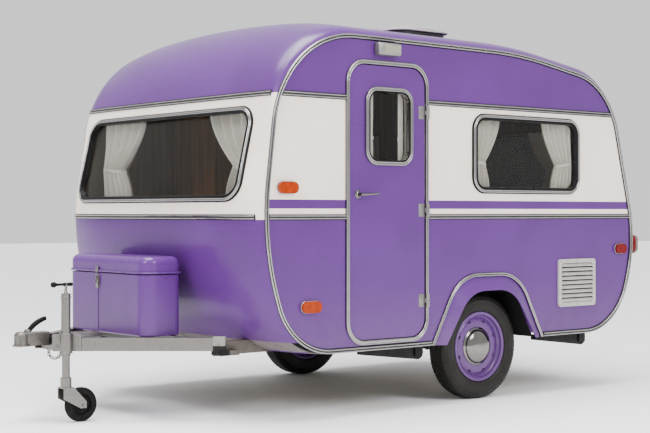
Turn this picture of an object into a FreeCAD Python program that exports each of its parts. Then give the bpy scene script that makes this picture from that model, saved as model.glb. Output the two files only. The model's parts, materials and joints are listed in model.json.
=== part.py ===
"""Small touring caravan from the nineteen-sixties, on one axle.

The frame stands on the ground: X runs across the body with the door side at
+X, the drawbar points to -Y, and Z is up. Lengths are in millimetres.
"""
import FreeCAD, Part

import math
import os

Vector = FreeCAD.Vector

# Overall reach, from the axle to the tip of the coupling and to the tail lamps
coupling_reach = 2719
tail_reach = 1522
axle_y = (coupling_reach - tail_reach) / 2

# Body shell
body_width = 2000
body_length = 3214
body_height = 1819
body_base = 365
axle_to_nose = 1770
wall = 28
fit_gap = 0.3
overrun = 50

# Side outline of the body: corner places as shares of length and height, then the radius over the height
outline_shares = (
    (0.063, 0.000, 0.220),
    (0.000, 0.351, 0.844),
    (0.044, 1.000, 0.327),
    (0.637, 0.993, 1.870),
    (0.913, 0.913, 0.275),
    (1.000, 0.321, 0.522),
    (0.933, 0.000, 0.245),
)
# How far each of those corners moves on the centre line, as shares of the bows and of the crown
bow_shares = (-0.38, -1.00, 0.42, 0.00, 0.50, 0.50, 0.25)
crown_shares = (0.00, 0.00, 1.00, 1.00, 1.00, 0.00, 0.00)
nose_bow = 158
roof_crown = 119
nose_tightening_share = 0.35
nose_corner = 1
station_count = 12

# Floor and chassis
floor_base = 440
floor_thickness = 30
panel_lip_height = 440
roof_seam_height = 1815
rail_offset = 640
rail_width = 50
rail_front_reach = 1760
rail_rear_reach = 1330
cross_member_height = 40
front_cross_reach = 1304
apron_rear_reach = 1270
apron_skin = 6
rail_drop = 1
outrigger_width = 60
outrigger_reach = 930

# Axle and wheels
tyre_diameter = 650
tyre_width = 150
wheel_track = 1720
# Half outline of the tyre above the rim's flange: shares of half the width and of the height up to the tread
tyre_shares = ((0.93, 0.10), (1.00, 0.42), (0.96, 0.72), (0.82, 0.93), (0.58, 1.00))
rim_diameter = 406
rim_flange = 14
rim_width = 124
rim_metal = 6
disc_offset = 34
# Outline of the rim, from its inner flange round to the disc and back: out from the middle, in from the seat
rim_outline = (
    (-62, -14),
    (-56, -14),
    (-56, 0),
    (56, 0),
    (56, -14),
    (62, -14),
    (62, 6),
    (46, 7),
    (38, 18),
    (27, 23),
    (34, 48),
    (34, 148),
    (28, 148),
    (28, 54),
    (20, 30),
    (-30, 30),
    (-40, 6),
    (-62, 6),
)
# Outline of the hub cap: out from the disc, and radius
hub_cap_outline = (
    (0, 36),
    (0, 119),
    (4, 119),
    (7, 111),
    (11, 108),
    (24, 97),
    (35, 77),
    (43, 47),
    (46, 0),
    (43, 0),
    (40, 36),
)
drum_diameter = 230
drum_width = 60
axle_tube = 70
axle_rise = 1
swing_arm_width = 30
swing_arm_drop = 24
swing_arm_ends = (20, 30)
stub_diameter = 36
axle_end_gap = 55
bearing_gap = 0.05
swing_arm_reach = 130
apron_gap = 6

# Wheel arches
arch_cut = (428, 232, 360, 250)
arch_trim = (472, 258, 400, 262)
arch_lip = (398, 190, 317, 232)
arch_foot_radius = 3
arch_strip_width = 23.2
flare_height = 36
flare_skin = 6
well_depth = 236
well_skin = 4

# Side door
door_width = 582
door_height = 1578
door_base = 430
door_front_reach = 1134
door_corner = 108
door_gap = 6
door_proud = 3
door_range = 120
surround_width = 24
surround_height = 9
handle_front_reach = 1074
handle_height = 1264
handle_length = 129
handle_rise = 5
handle_rose = 48
handle_rose_depth = 9
handle_stem = 18
handle_bar = 16
handle_stand_off = 36
hinge_heights_share = (0.132, 0.471, 0.838)
hinge_height = 77
hinge_barrel = 13
hinge_pin = 7
hinge_stand_off = 16
hinge_set_back = 6
hinge_leaf = 3
hinge_leaf_width = 22

# Windows, as width, height, corner radius
window_proud = 13
window_frame_width = 36
window_liner = 8
pane_thickness = 5
window_sill = 1310
side_window_size = (933, 428, 70)
side_window_front_reach = 116
front_window_size = (1690, 470, 88)
front_window_sill = 1250
rear_window_size = (1300, 430, 88)
rear_window_sill = 1290
door_window_size = (319, 403, 62)
door_window_sill = 1458
door_window_inset = 136
door_window_frame = 31
door_window_liner = 6
door_inner_flange = 16

# Metal trims on the outside
moulding_width = 29
moulding_height = 8
moulding_bevel = 4
waist_base = 1121
waist_width = 27
waist_height = 6
roofline_base = 1801
roofline_width = 28

# Lamps, vent and grille
porch_lamp_size = (172, 58, 72)
porch_lamp_front_reach = 950
lamp_end_share = 0.49
porch_lamp_base = 2068
marker_size = (136, 24, 64)
upper_marker = (1656, 1265)
lower_marker = (1491, 603)
reflector_size = (114, 20, 65)
reflector_place = (1212, 883)
tail_lamp_size = (64, 122)
tail_lamp_offset = 925
tail_lamp_base = 882
grille_width = 362
grille_height = 309
grille_rear_reach = 640
grille_base = 547
grille_border = 26
grille_corner = 20
grille_depth = 14
louvre_count = 9
louvre_thickness = 4
louvre_shares = (0.9, 0.2)
roof_vent_size = 380
roof_vent_offset = 300
roof_vent_centre_reach = -80
roof_vent_frame = 26
roof_vent_rise = 14
roof_lid_skin = 4
roof_lid_height = 36
roof_lid_dome = 1450
roof_lid_leaf = 12
roof_lid_overhang = 44
roof_lid_corner = 90
roof_vent_gap = 6
vent_hinge_width = 120
roof_lid_range = 60

# Drawbar and overrun coupling
drawbar_height = 74
drawbar_width = 48
drawbar_base = 392
drawbar_angle = 39.5
drawbar_tail_offset = 690
drawbar_tail_reach = 1785
drawbar_nose_offset = 86
drawbar_wall = 5
bracket_length = 62
drawbar_head_reach = 2506
drawbar_head_length = 90
bearer_front_reach = 2110
bearer_rear_reach = 1960
bearer_width = 32
bearer_height = 26
coupling_ball = 50.5
coupling_wall = 7
coupling_width = 78
coupling_length = 212
coupling_ball_reach = 48
coupling_socket_depth = 38
coupling_skirt = 10
coupling_skirt_height = 9
coupling_top = 70
coupling_crown = 24
coupling_tail_width = 62
coupling_tail_corner = 11
coupling_tail_round = 7
coupling_tail_drop = 4
coupling_rise = 20
coupling_height = 430
bellows_length = 72
bellows_diameter = 64
overrun_length = 250
overrun_diameter = 70
lever_front = 86
lever_run = 112
lever_rise = 78
lever_bulge = 13
lever_radius = 13

# Jockey wheel
jockey_along = 870
jockey_outer_tube = 52
jockey_inner_tube = 44
jockey_tube_wall = 3
jockey_top = 706
jockey_stem_top = 424
jockey_lift = 115
jockey_sleeve_drop = 14
jockey_cap_height = 8
jockey_clamp_height = 112
jockey_clamp_base = 384
jockey_clamp_wall = 8
jockey_clamp_reach = 80
jockey_collar_top = 250
jockey_collar_height = 58
jockey_wheel_diameter = 190
jockey_wheel_width = 50
jockey_trail = 92
jockey_axle = 12
jockey_fork_gap = 6
jockey_fork_plate = 5
# Half outline of the jockey wheel from its hub to its tread: shares of half the width and of the radius
jockey_wheel_shares = ((0.60, 0.60), (1.00, 0.66), (1.00, 0.84), (0.72, 0.97), (0.40, 1.00))
jockey_slide_gap = 0.1
crank_rise = 50
crank_radius = 8
crank_end_radius = 11
crank_tail = 40
crank_reach = 76

# Gas locker
locker_width = 860
locker_depth = 248
locker_height = 345
locker_lid_height = 96
locker_rear_reach = 1893
locker_corner = 78
locker_rear_corner = 46
locker_lid_crown = 42
locker_foot_round = 10
locker_skin = 4
locker_joint = 6
locker_lid_range = 36
locker_lid_lip = 7
locker_lip_height = 12
locker_hinge_width = 150
locker_hinge_offset = 200
lid_hinge_barrel = 10
lid_hinge_pin = 5
lid_hinge_drop = 36
latch_offset = 70
latch_size = (34, 14, 84)
latch_drop = 6

# Corner steadies
steady_pivot_height = 322
steady_length = 480
steady_head = 88
steady_foot = 34
steady_thickness = 44
steady_offset = 890
steady_pin = 16
steady_cheek = 6
steady_cheek_drop = 24
steady_gap = 5
steady_range = 48
steady_front_reach = -520
steady_rear_reach = 975

# Breakaway chain
chain_reach = 2461
chain_loop_radius = 40
chain_half_turn = math.radians(115)
chain_eye_drop = 1.5
chain_pitch = 12.4
chain_link_radius = 9
chain_link_sides = 12
chain_wire = 3.8

# Inside fittings
cabinet_gap = 12
board = 15
kitchen_size = (1700, 330, 640)
kitchen_front_reach = 1470
wardrobe_size = (560, 500, 1400)
wardrobe_front_reach = 1090
bench_size = (540, 680, 380)
bench_front_reach = 460
table_size = (640, 520, 690)
table_thickness = 24
table_leg = 60
curtain_thickness = 30
curtain_share = 0.26
curtain_rod = 12
curtain_stand_off = 26
front_curtain_reach = 1630
rear_curtain_reach = 1170


def at(behind_axle):
    """Give the Y of a place that lies this far behind the axle."""
    return axle_y + behind_axle


def box(low, high):
    """Make a block between two corners."""
    return Part.makeBox(high[0] - low[0], high[1] - low[1], high[2] - low[2], Vector(*low))


def rod(radius, start, end):
    """Make a round bar between two points."""
    run = Vector(*end) - Vector(*start)
    return Part.makeCylinder(radius, run.Length, Vector(*start), run)


def pipe(outer, inner, start, end):
    """Make a round tube between two points."""
    return rod(outer, start, end).cut(rod(inner, start, end))


def filleted_wire(corners, place):
    """Join corners (u, v, radius) by lines and tangent arcs, and place them in space."""
    count = len(corners)
    arcs = []
    for index in range(count):
        before = corners[index - 1]
        here = corners[index]
        after = corners[(index + 1) % count]
        back = (before[0] - here[0], before[1] - here[1])
        ahead = (after[0] - here[0], after[1] - here[1])
        back_length = math.hypot(*back)
        ahead_length = math.hypot(*ahead)
        back = (back[0] / back_length, back[1] / back_length)
        ahead = (ahead[0] / ahead_length, ahead[1] / ahead_length)
        half = math.acos(back[0] * ahead[0] + back[1] * ahead[1]) / 2
        reach = here[2] / math.tan(half)
        rise = here[2] / math.sin(half) - here[2]
        middle = (back[0] + ahead[0], back[1] + ahead[1])
        middle_length = math.hypot(*middle)
        start = place(here[0] + back[0] * reach, here[1] + back[1] * reach)
        peak = place(here[0] + middle[0] / middle_length * rise, here[1] + middle[1] / middle_length * rise)
        end = place(here[0] + ahead[0] * reach, here[1] + ahead[1] * reach)
        arcs.append((start, peak, end))
    edges = []
    for index in range(count):
        start, peak, end = arcs[index]
        following = arcs[(index + 1) % count][0]
        edges.append(Part.Arc(start, peak, end).toShape())
        edges.append(Part.makeLine(end, following))
    return Part.Wire(edges)


def rounded_block(low, high, radius, axis):
    """Make a block between two corners, with the four edges along one axis rounded."""
    across = [index for index in range(3) if index != axis]
    u0, u1 = low[across[0]], high[across[0]]
    v0, v1 = low[across[1]], high[across[1]]

    def place(u, v):
        point = list(low)
        point[across[0]] = u
        point[across[1]] = v
        return Vector(*point)

    corners = ((u0, v0, radius), (u1, v0, radius), (u1, v1, radius), (u0, v1, radius))
    run = [0, 0, 0]
    run[axis] = high[axis] - low[axis]
    return Part.Face(filleted_wire(corners, place)).extrude(Vector(*run))


def plan_block(low, high, front_radius, rear_radius):
    """Make an upright block between two corners, with its own corner radius at the front and at the rear."""
    corners = (
        (low[0], low[1], front_radius),
        (high[0], low[1], front_radius),
        (high[0], high[1], rear_radius),
        (low[0], high[1], rear_radius),
    )
    wire = filleted_wire(corners, lambda x, y: Vector(x, y, low[2]))
    return Part.Face(wire).extrude(Vector(0, 0, high[2] - low[2]))


def edges_at(shape, height, reach):
    """Give the edges that lie wholly at one height."""
    found = []
    for edge in shape.Edges:
        if abs(edge.BoundBox.ZMin - height) < reach and abs(edge.BoundBox.ZMax - height) < reach:
            found.append(edge)
    return found


def mirrored(shape):
    """Give the same shape on the other side of the centre line."""
    return shape.mirror(Vector(0, 0, 0), Vector(1, 0, 0))


def on_both_sides(shape):
    """Give a shape and its mirror image."""
    return [shape, mirrored(shape)]


def union(shapes):
    """Fuse shapes that touch into one solid."""
    first = shapes[0]
    if len(shapes) == 1:
        return first
    return first.fuse(shapes[1:]).removeSplitter()


def outline_corners(x, inset):
    """Give the corners of the body's side outline at one station, moved inwards by the inset."""
    half_width = body_width / 2
    across = min(abs(x) / half_width, 1)
    bow_here = math.sqrt(1 - across ** 4)
    crown_here = math.sqrt(1 - across ** 2)
    corners = []
    for index, (length_share, height_share, radius_share) in enumerate(outline_shares):
        y = at(length_share * body_length - axle_to_nose) + bow_shares[index] * nose_bow * bow_here
        z = body_base + height_share * body_height + crown_shares[index] * roof_crown * crown_here
        radius = radius_share * body_height
        if index == nose_corner:
            radius = radius * (1 - nose_tightening_share * bow_here)
        corners.append((y, z, radius))
    sides = []
    count = len(corners)
    for index in range(count):
        y0, z0, _ = corners[index]
        y1, z1, _ = corners[(index + 1) % count]
        length = math.hypot(y1 - y0, z1 - z0)
        run = ((y1 - y0) / length, (z1 - z0) / length)
        sides.append((y0 + run[1] * inset, z0 - run[0] * inset, run))
    moved = []
    for index in range(count):
        y0, z0, run0 = sides[index - 1]
        y1, z1, run1 = sides[index]
        turn = run0[0] * run1[1] - run0[1] * run1[0]
        along = ((y1 - y0) * run1[1] - (z1 - z0) * run1[0]) / turn
        moved.append((y0 + run0[0] * along, z0 + run0[1] * along, corners[index][2] - inset))
    return moved


def section(x, inset):
    """Draw the body's outline at one station."""
    return filleted_wire(outline_corners(x, inset), lambda y, z: Vector(x, y, z))


def hull(inset, half_width):
    """Loft the body's crowned and bowed form, inset on all sides but cut square at its ends."""
    stations = []
    for index in range(station_count + 1):
        angle = math.pi * (index / station_count - 1 / 2)
        stations.append(section(half_width * math.sin(angle), inset))
    return Part.makeLoft(stations, True, False)


def slab(z0, z1, y0=-2 * body_length, y1=2 * body_length, half_width=body_width):
    """Make a wide horizontal block that selects a band of the body."""
    return box((-half_width, y0, z0), (half_width, y1, z1))


def side_plate(inset, x0, x1):
    """Make a flat plate of the body's side outline."""
    face = Part.Face(section(body_width / 2, inset))
    return face.extrude(Vector(x1 - x0, 0, 0)).translate(Vector(x0 - body_width / 2, 0, 0))


def arch_solid(sizes, shrink, x0, x1):
    """Make the block that fills a wheel arch outline."""
    return Part.Face(arch_wire(sizes, shrink, x0)).extrude(Vector(x1 - x0, 0, 0))


def arch_wire(sizes, shrink, x):
    """Draw a wheel arch: sloping sides under a rounded top, on the line of the sill."""
    base_half, top_half, rise, radius = sizes
    slope = (base_half - top_half) / rise
    top = rise - shrink
    base = base_half - shrink + overrun * slope
    shoulder = top_half - shrink / 2
    corner = radius - shrink
    corners = (
        (at(-base), body_base - overrun, arch_foot_radius),
        (at(base), body_base - overrun, arch_foot_radius),
        (at(shoulder), body_base + top, corner),
        (at(-shoulder), body_base + top, corner),
    )
    return filleted_wire(corners, lambda y, z: Vector(x, y, z))


half_body = body_width / 2
outer_form = hull(0, half_body)
inner_form = hull(wall, half_body - wall)
inner_side = half_body - wall
nodes = {}


def span(front_reach, width):
    """Give the two Y places of something that starts this far ahead of the axle."""
    return at(-front_reach), at(-front_reach) + width


def side_block(y_pair, z_pair, radius, x_pair):
    """Make a rounded block that runs across the side wall."""
    low = (x_pair[0], y_pair[0], z_pair[0])
    high = (x_pair[1], y_pair[1], z_pair[1])
    return rounded_block(low, high, radius, 0)


def grown(pair, amount):
    """Widen a pair of places by the same amount at both ends."""
    return pair[0] - amount, pair[1] + amount


def side_window(front_reach, sill, sizes):
    """Give a side window's places along the body and up the wall, and its corner radius."""
    width, height, radius = sizes
    return span(front_reach, width), (sill, sill + height), radius


def end_window(sill, sizes, grow, y_pair):
    """Make the block that fills a window in the nose or the tail."""
    width, height, radius = sizes
    low = (-width / 2 - grow, y_pair[0], sill - grow)
    high = (width / 2 + grow, y_pair[1], sill + height + grow)
    return rounded_block(low, high, radius + grow, 1)


side_windows = {
    "left": [side_window(side_window_front_reach, window_sill, side_window_size)],
    "right": [side_window(side_window_front_reach, window_sill, side_window_size)],
}
door_span = span(door_front_reach, door_width)
door_rise = (door_base, door_base + door_height)
door_window_rise = (door_window_sill, door_window_sill + door_window_size[1])
door_window_span = (door_span[0] + door_window_inset, door_span[0] + door_window_inset + door_window_size[0])
pane_depth = (half_body - wall / 2, half_body - wall / 2 + pane_thickness)
nose_y = (at(-2 * body_length), at(-body_length / 4))
tail_y = (at(body_length / 4), at(2 * body_length))


def cut_for_door(wall_plate):
    """Open the doorway in the left wall."""
    y_pair = grown(door_span, door_gap)
    z_pair = grown(door_rise, door_gap)
    reach = (inner_side - overrun, half_body + overrun)
    return wall_plate.cut(side_block(y_pair, z_pair, door_corner + door_gap, reach))


def side_wall(side):
    """Make one flat side wall with its windows, arch and doorway cut."""
    plate = side_plate(wall + fit_gap, inner_side, half_body)
    plate = plate.cut(arch_solid(arch_cut, 0, inner_side - overrun, half_body + overrun))
    for y_pair, z_pair, radius in side_windows[side]:
        plate = plate.cut(side_block(y_pair, z_pair, radius, (inner_side - overrun, half_body + overrun)))
    if side == "left":
        return cut_for_door(plate)
    return mirrored(plate)


def make_shell():
    """Make the skins that wrap over the body between its side walls."""
    wrap = outer_form.cut(inner_form)
    plate = side_plate(wall, inner_side - overrun, half_body)
    wrap = wrap.cut([plate, mirrored(plate)])
    front = wrap.common(slab(panel_lip_height, roof_seam_height, nose_y[0], nose_y[1]))
    front = front.cut(end_window(front_window_sill, front_window_size, 0, nose_y))
    rear = wrap.common(slab(panel_lip_height, roof_seam_height, tail_y[0], tail_y[1]))
    rear = rear.cut(end_window(rear_window_sill, rear_window_size, 0, tail_y))
    roof = wrap.common(slab(roof_seam_height, 2 * body_height))
    half_vent = roof_vent_size / 2
    vent_low = (roof_vent_offset - half_vent, at(roof_vent_centre_reach) - half_vent, roof_seam_height)
    vent_high = (roof_vent_offset + half_vent, at(roof_vent_centre_reach) + half_vent, 2 * body_height)
    roof = roof.cut(rounded_block(vent_low, vent_high, roof_vent_frame, 2))
    nodes["front_panel"] = [front]
    nodes["rear_panel"] = [rear]
    nodes["roof_panel"] = [roof]
    nodes["side_wall_left"] = [side_wall("left")]
    nodes["side_wall_right"] = [side_wall("right")]


def make_floor():
    """Make the floor, its aprons under the nose and tail, and the boxes over the wheels."""
    lining = hull(wall + fit_gap, inner_side - fit_gap)
    floor = lining.common(slab(floor_base, floor_base + floor_thickness))
    wells = []
    for side in (1, -1):
        block = arch_solid(arch_cut, -well_skin - fit_gap, inner_side - well_depth, half_body)
        wells.append(block if side == 1 else mirrored(block))
    sill = box((inner_side - door_gap, door_span[0] - door_gap, body_base),
               (half_body, door_span[1] + door_gap, body_height))
    floor = floor.cut(wells + [sill])
    apron = hull(0, inner_side - fit_gap).cut(hull(apron_skin, half_body))
    notch = box((rail_offset - rail_width / 2 - apron_gap, nose_y[0], body_base - overrun),
                (rail_offset + rail_width / 2 + apron_gap, at(0), panel_lip_height))
    top = panel_lip_height - fit_gap
    apron = apron.common(slab(body_base - overrun, top, nose_y[0], at(-apron_rear_reach)))
    nodes["floor_pan"] = [floor]
    nodes["front_apron"] = apron.cut(on_both_sides(notch)).Solids
    nodes["wheel_boxes"] = on_both_sides(wheel_box())


def wheel_box():
    """Make the left wheel box: an arched cover closed on its inner side."""
    outer = arch_solid(arch_cut, -well_skin, inner_side - well_depth + fit_gap, inner_side)
    inner = arch_solid(arch_cut, 0, inner_side - well_depth + fit_gap + well_skin, half_body)
    shell = outer.cut(inner)
    return shell.common(slab(body_base, body_height))


def make_flares():
    """Make the flared wheel arch covers, thin shells that stand out to a rolled lip."""
    trim = arch_wire(arch_trim, 0, half_body)
    lip = arch_wire(arch_lip, 0, half_body + flare_height)
    outer = Part.makeLoft([trim, lip], True, True)
    inner_trim = arch_wire(arch_trim, flare_skin, half_body - fit_gap)
    inner_lip = arch_wire(arch_lip, flare_skin, half_body + flare_height - flare_skin)
    hollow = Part.makeLoft([inner_trim, inner_lip], True, True)
    opening = arch_solid(arch_lip, flare_skin / 2, half_body - overrun, half_body + flare_height + overrun)
    flare = outer.cut([hollow, opening])
    flare = flare.common(slab(body_base, body_height))
    nodes["arch_flares"] = on_both_sides(flare)


def moulding_loop(inset, width, height, bevel, x):
    """Make a bevelled strip that follows the body's side outline."""
    outer = Part.makeLoft([section(x, inset), section(x + height, inset + bevel)], True, True)
    inner = Part.makeLoft([section(x, inset + width), section(x + height, inset + width - bevel)], True, True)
    return outer.cut(inner)


def make_mouldings():
    """Make the edge mouldings and the strips round the wheel arches."""
    loop = moulding_loop(0, moulding_width, moulding_height, moulding_bevel, half_body)
    loop = loop.cut(arch_solid(arch_trim, -arch_strip_width, half_body - overrun, half_body + overrun))
    outer = arch_solid(arch_trim, -arch_strip_width, half_body, half_body + moulding_height)
    hollow = arch_solid(arch_trim, -fit_gap, half_body - overrun, half_body + overrun)
    arch = outer.cut(hollow).common(slab(body_base, body_height))
    shapes = on_both_sides(loop) + on_both_sides(arch)
    nodes["edge_mouldings"] = shapes


def make_trims():
    """Make the strips at the waist and at the roof line, round the sides and both ends."""
    shapes = []
    raised = hull(-waist_height, half_body - moulding_width)
    for base, width in ((waist_base, waist_width), (roofline_base, roofline_width)):
        inside_loop = side_plate(moulding_width + fit_gap, half_body, half_body + waist_height)
        band = inside_loop.common(slab(base, base + width))
        surround = grown(door_span, surround_width + door_gap + fit_gap)
        gap = box((0, surround[0], 0), (body_width, surround[1], 2 * body_height))
        shapes.extend(band.cut(gap).Solids)
        shapes.append(mirrored(band))
        around = raised.cut(outer_form).common(slab(base, base + width))
        for solid in around.Solids:
            shapes.append(solid)
    nodes["waist_trims"] = shapes


def window_ring(y_pair, z_pair, radius, x_pair, border, thickness):
    """Make a frame that clamps a side window: a flange outside and a liner through the wall."""
    flange = side_block(grown(y_pair, border), grown(z_pair, border), radius + border, x_pair)
    liner = side_block(y_pair, z_pair, radius, (inner_side, x_pair[1]))
    hole = side_block(grown(y_pair, -thickness), grown(z_pair, -thickness), radius - thickness,
                      (inner_side - overrun, x_pair[1] + overrun))
    return flange.fuse(liner).cut(hole)


def make_windows():
    """Make every window's frame and pane."""
    frames = []
    panes = []
    liner = window_liner
    for side, windows in side_windows.items():
        for y_pair, z_pair, radius in windows:
            ring = window_ring(y_pair, z_pair, radius, (half_body, half_body + window_proud),
                               window_frame_width - liner, liner)
            pane = side_block(grown(y_pair, -liner - fit_gap), grown(z_pair, -liner - fit_gap),
                              radius - liner, pane_depth)
            frames.append(ring if side == "left" else mirrored(ring))
            panes.append(pane if side == "left" else mirrored(pane))
    raised = hull(-window_proud, half_body)
    glass_form = hull(wall / 2 - pane_thickness, half_body).cut(hull(wall / 2, half_body - overrun))
    for sill, sizes, y_pair in (
        (front_window_sill, front_window_size, nose_y),
        (rear_window_sill, rear_window_size, tail_y),
    ):
        flange = raised.cut(outer_form).common(end_window(sill, sizes, window_frame_width - liner, y_pair))
        through = outer_form.cut(inner_form).common(end_window(sill, sizes, 0, y_pair))
        ring = flange.fuse(through).cut(end_window(sill, sizes, -liner, y_pair))
        frames.append(ring)
        panes.append(glass_form.common(end_window(sill, sizes, -liner - fit_gap, y_pair)))
    nodes["window_frames"] = frames
    nodes["window_panes"] = panes


def make_door():
    """Make the side door with its surround, window, handle and hinges."""
    leaf = side_block(door_span, door_rise, door_corner, (inner_side, half_body + door_proud))
    glass_hole = side_block(door_window_span, door_window_rise, door_window_size[2],
                            (inner_side - overrun, half_body + overrun))
    nodes["door_leaf"] = [leaf.cut(glass_hole)]
    outer = grown(door_span, surround_width + door_gap)
    outer_rise = grown(door_rise, surround_width + door_gap)
    ring = side_block(outer, outer_rise, door_corner + surround_width,
                      (half_body, half_body + surround_height))
    hole = side_block(grown(door_span, door_gap), grown(door_rise, door_gap), door_corner + door_gap,
                      (half_body - overrun, half_body + overrun))
    nodes["door_surround"] = [ring.cut(hole)]
    liner = door_window_liner
    face = half_body + door_proud
    flange = side_block(grown(door_window_span, door_window_frame - liner),
                        grown(door_window_rise, door_window_frame - liner),
                        door_window_size[2] + door_window_frame - liner, (face, face + window_proud))
    sleeve = side_block(door_window_span, door_window_rise, door_window_size[2],
                        (inner_side, face + window_proud))
    hollow = side_block(grown(door_window_span, -liner), grown(door_window_rise, -liner),
                        door_window_size[2] - liner, (inner_side - overrun, half_body + overrun))
    inner_flange = side_block(grown(door_window_span, door_inner_flange),
                              grown(door_window_rise, door_inner_flange),
                              door_window_size[2] + door_inner_flange, (inner_side - hinge_leaf, inner_side))
    parts = [flange, sleeve, inner_flange]
    radius = curtain_rod / 2
    bar_x = inner_side - curtain_stand_off
    bar_z = door_window_rise[1] + radius
    frame = union(parts).cut(hollow)
    rods = [rod(radius, (bar_x, door_window_span[0], bar_z), (bar_x, door_window_span[1], bar_z))]
    for y in door_window_span:
        rods.append(rod(radius, (bar_x, y, bar_z), (inner_side - hinge_leaf, y, bar_z)))
    nodes["door_window_frame"] = [union([frame] + rods)]
    pane = side_block(grown(door_window_span, -liner - fit_gap), grown(door_window_rise, -liner - fit_gap),
                      door_window_size[2] - liner, pane_depth)
    nodes["door_window_pane"] = [pane]
    make_door_handle(face)
    make_hinges(face)


def make_door_handle(face):
    """Make the lever handle on its round rose."""
    y = at(-handle_front_reach)
    rose_end = face + handle_rose_depth
    bar_x = face + handle_stand_off
    rose = rod(handle_rose / 2, (face, y, handle_height), (rose_end, y, handle_height))
    stem = rod(handle_stem / 2, (rose_end, y, handle_height), (bar_x, y, handle_height))
    start = (bar_x, y - handle_bar / 2, handle_height)
    lever = rod(handle_bar / 2, start, (bar_x, y + handle_length, handle_height + handle_rise))
    nodes["door_handle"] = [union([rose, stem, lever])]


hinge_axis_x = half_body + hinge_stand_off
hinge_axis_y = door_span[1] + door_gap + hinge_set_back


def make_hinges(face):
    """Make three hinges: the outer knuckles and pin on the wall, the middle knuckle on the door."""
    wall_parts = []
    door_parts = []
    for share in hinge_heights_share:
        middle = door_base + share * door_height
        low = middle - hinge_height / 2
        high = middle + hinge_height / 2
        third = hinge_height / 3
        axis = (hinge_axis_x, hinge_axis_y)
        pin = rod(hinge_pin / 2, (axis[0], axis[1], low), (axis[0], axis[1], high))
        knuckles = [pin]
        foot = half_body + surround_height
        for z0, z1 in ((low, low + third), (high - third, high)):
            knuckles.append(rod(hinge_barrel / 2, (axis[0], axis[1], z0), (axis[0], axis[1], z1)))
            knuckles.append(box((foot, axis[1], z0), (foot + hinge_leaf, axis[1] + hinge_leaf_width, z1)))
            knuckles.append(box((foot, axis[1], z0), (axis[0], axis[1] + hinge_leaf, z1)))
        wall_parts.append(union(knuckles))
        z0 = low + third + fit_gap
        z1 = high - third - fit_gap
        barrel = rod(hinge_barrel / 2, (axis[0], axis[1], z0), (axis[0], axis[1], z1))
        plate = box((face, door_span[1] - hinge_leaf_width, z0), (face + hinge_leaf, door_span[1], z1))
        bridge = box((axis[0] - hinge_leaf, door_span[1] - hinge_leaf, z0), (axis[0], axis[1], z1))
        riser = box((face, door_span[1] - hinge_leaf, z0), (axis[0], door_span[1], z1))
        strap = union([barrel, plate, bridge, riser])
        bore = rod(hinge_pin / 2 + bearing_gap, (axis[0], axis[1], low), (axis[0], axis[1], high))
        door_parts.append(strap.cut(bore))
    nodes["door_hinge_knuckles"] = wall_parts
    nodes["door_hinge_straps"] = door_parts


def obround(front, base, sizes, x0):
    """Make a long lamp with fully rounded ends on the side wall."""
    length, depth, height = sizes
    y_pair = (at(-front), at(-front) + length)
    return side_block(y_pair, (base, base + height), height * lamp_end_share, (x0, x0 + depth))


def make_lamps():
    """Make the lamp over the door, the amber markers, the red reflectors and the tail lamps."""
    y_pair = span(porch_lamp_front_reach, porch_lamp_size[0])
    z_pair = (porch_lamp_base, porch_lamp_base + porch_lamp_size[2])
    nodes["porch_lamp"] = [side_block(y_pair, z_pair, porch_lamp_size[2] / 4,
                                      (half_body, half_body + porch_lamp_size[1]))]
    markers = []
    for front, base in (upper_marker, lower_marker):
        markers.extend(on_both_sides(obround(front, base, marker_size, half_body)))
    nodes["marker_lamps"] = markers
    reflector = obround(-reflector_place[0], reflector_place[1], reflector_size, half_body)
    nodes["side_reflectors"] = on_both_sides(reflector)
    low = (tail_lamp_offset - tail_lamp_size[0] / 2, at(0), tail_lamp_base)
    high = (tail_lamp_offset + tail_lamp_size[0] / 2, at(tail_reach), tail_lamp_base + tail_lamp_size[1])
    lamp = rounded_block(low, high, tail_lamp_size[0] * lamp_end_share, 1).cut(outer_form)
    rear_only = lamp.common(slab(0, body_height, at(body_length / 4), at(2 * body_length)))
    nodes["tail_lamps"] = on_both_sides(rear_only)


def make_grille():
    """Make the louvred vent low on the left wall."""
    y_pair = span(-grille_rear_reach, grille_width)
    z_pair = (grille_base, grille_base + grille_height)
    x_pair = (half_body, half_body + grille_depth)
    frame = side_block(y_pair, z_pair, grille_corner, x_pair)
    hollow = box((half_body + louvre_thickness, y_pair[0] + grille_border, z_pair[0] + grille_border),
                 (half_body + overrun, y_pair[1] - grille_border, z_pair[1] - grille_border))
    parts = [frame.cut(hollow)]
    pitch = (grille_height - 2 * grille_border) / louvre_count
    for index in range(louvre_count):
        z = z_pair[0] + grille_border + pitch * index
        y = y_pair[0] + grille_border
        inner_z = z + pitch * louvre_shares[0]
        outer_z = z + pitch * louvre_shares[1]
        corners = [
            Vector(half_body, y, inner_z),
            Vector(half_body + grille_depth, y, outer_z),
            Vector(half_body + grille_depth, y, outer_z + louvre_thickness),
            Vector(half_body, y, inner_z + louvre_thickness),
        ]
        wire = Part.makePolygon(corners + [corners[0]])
        blade = Part.Face(wire).extrude(Vector(0, grille_width - 2 * grille_border, 0))
        parts.append(blade.common(box((half_body, y_pair[0], z_pair[0]),
                                      (half_body + grille_depth, y_pair[1], z_pair[1] - grille_border))))
    nodes["vent_grille"] = [union(parts)]


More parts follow.
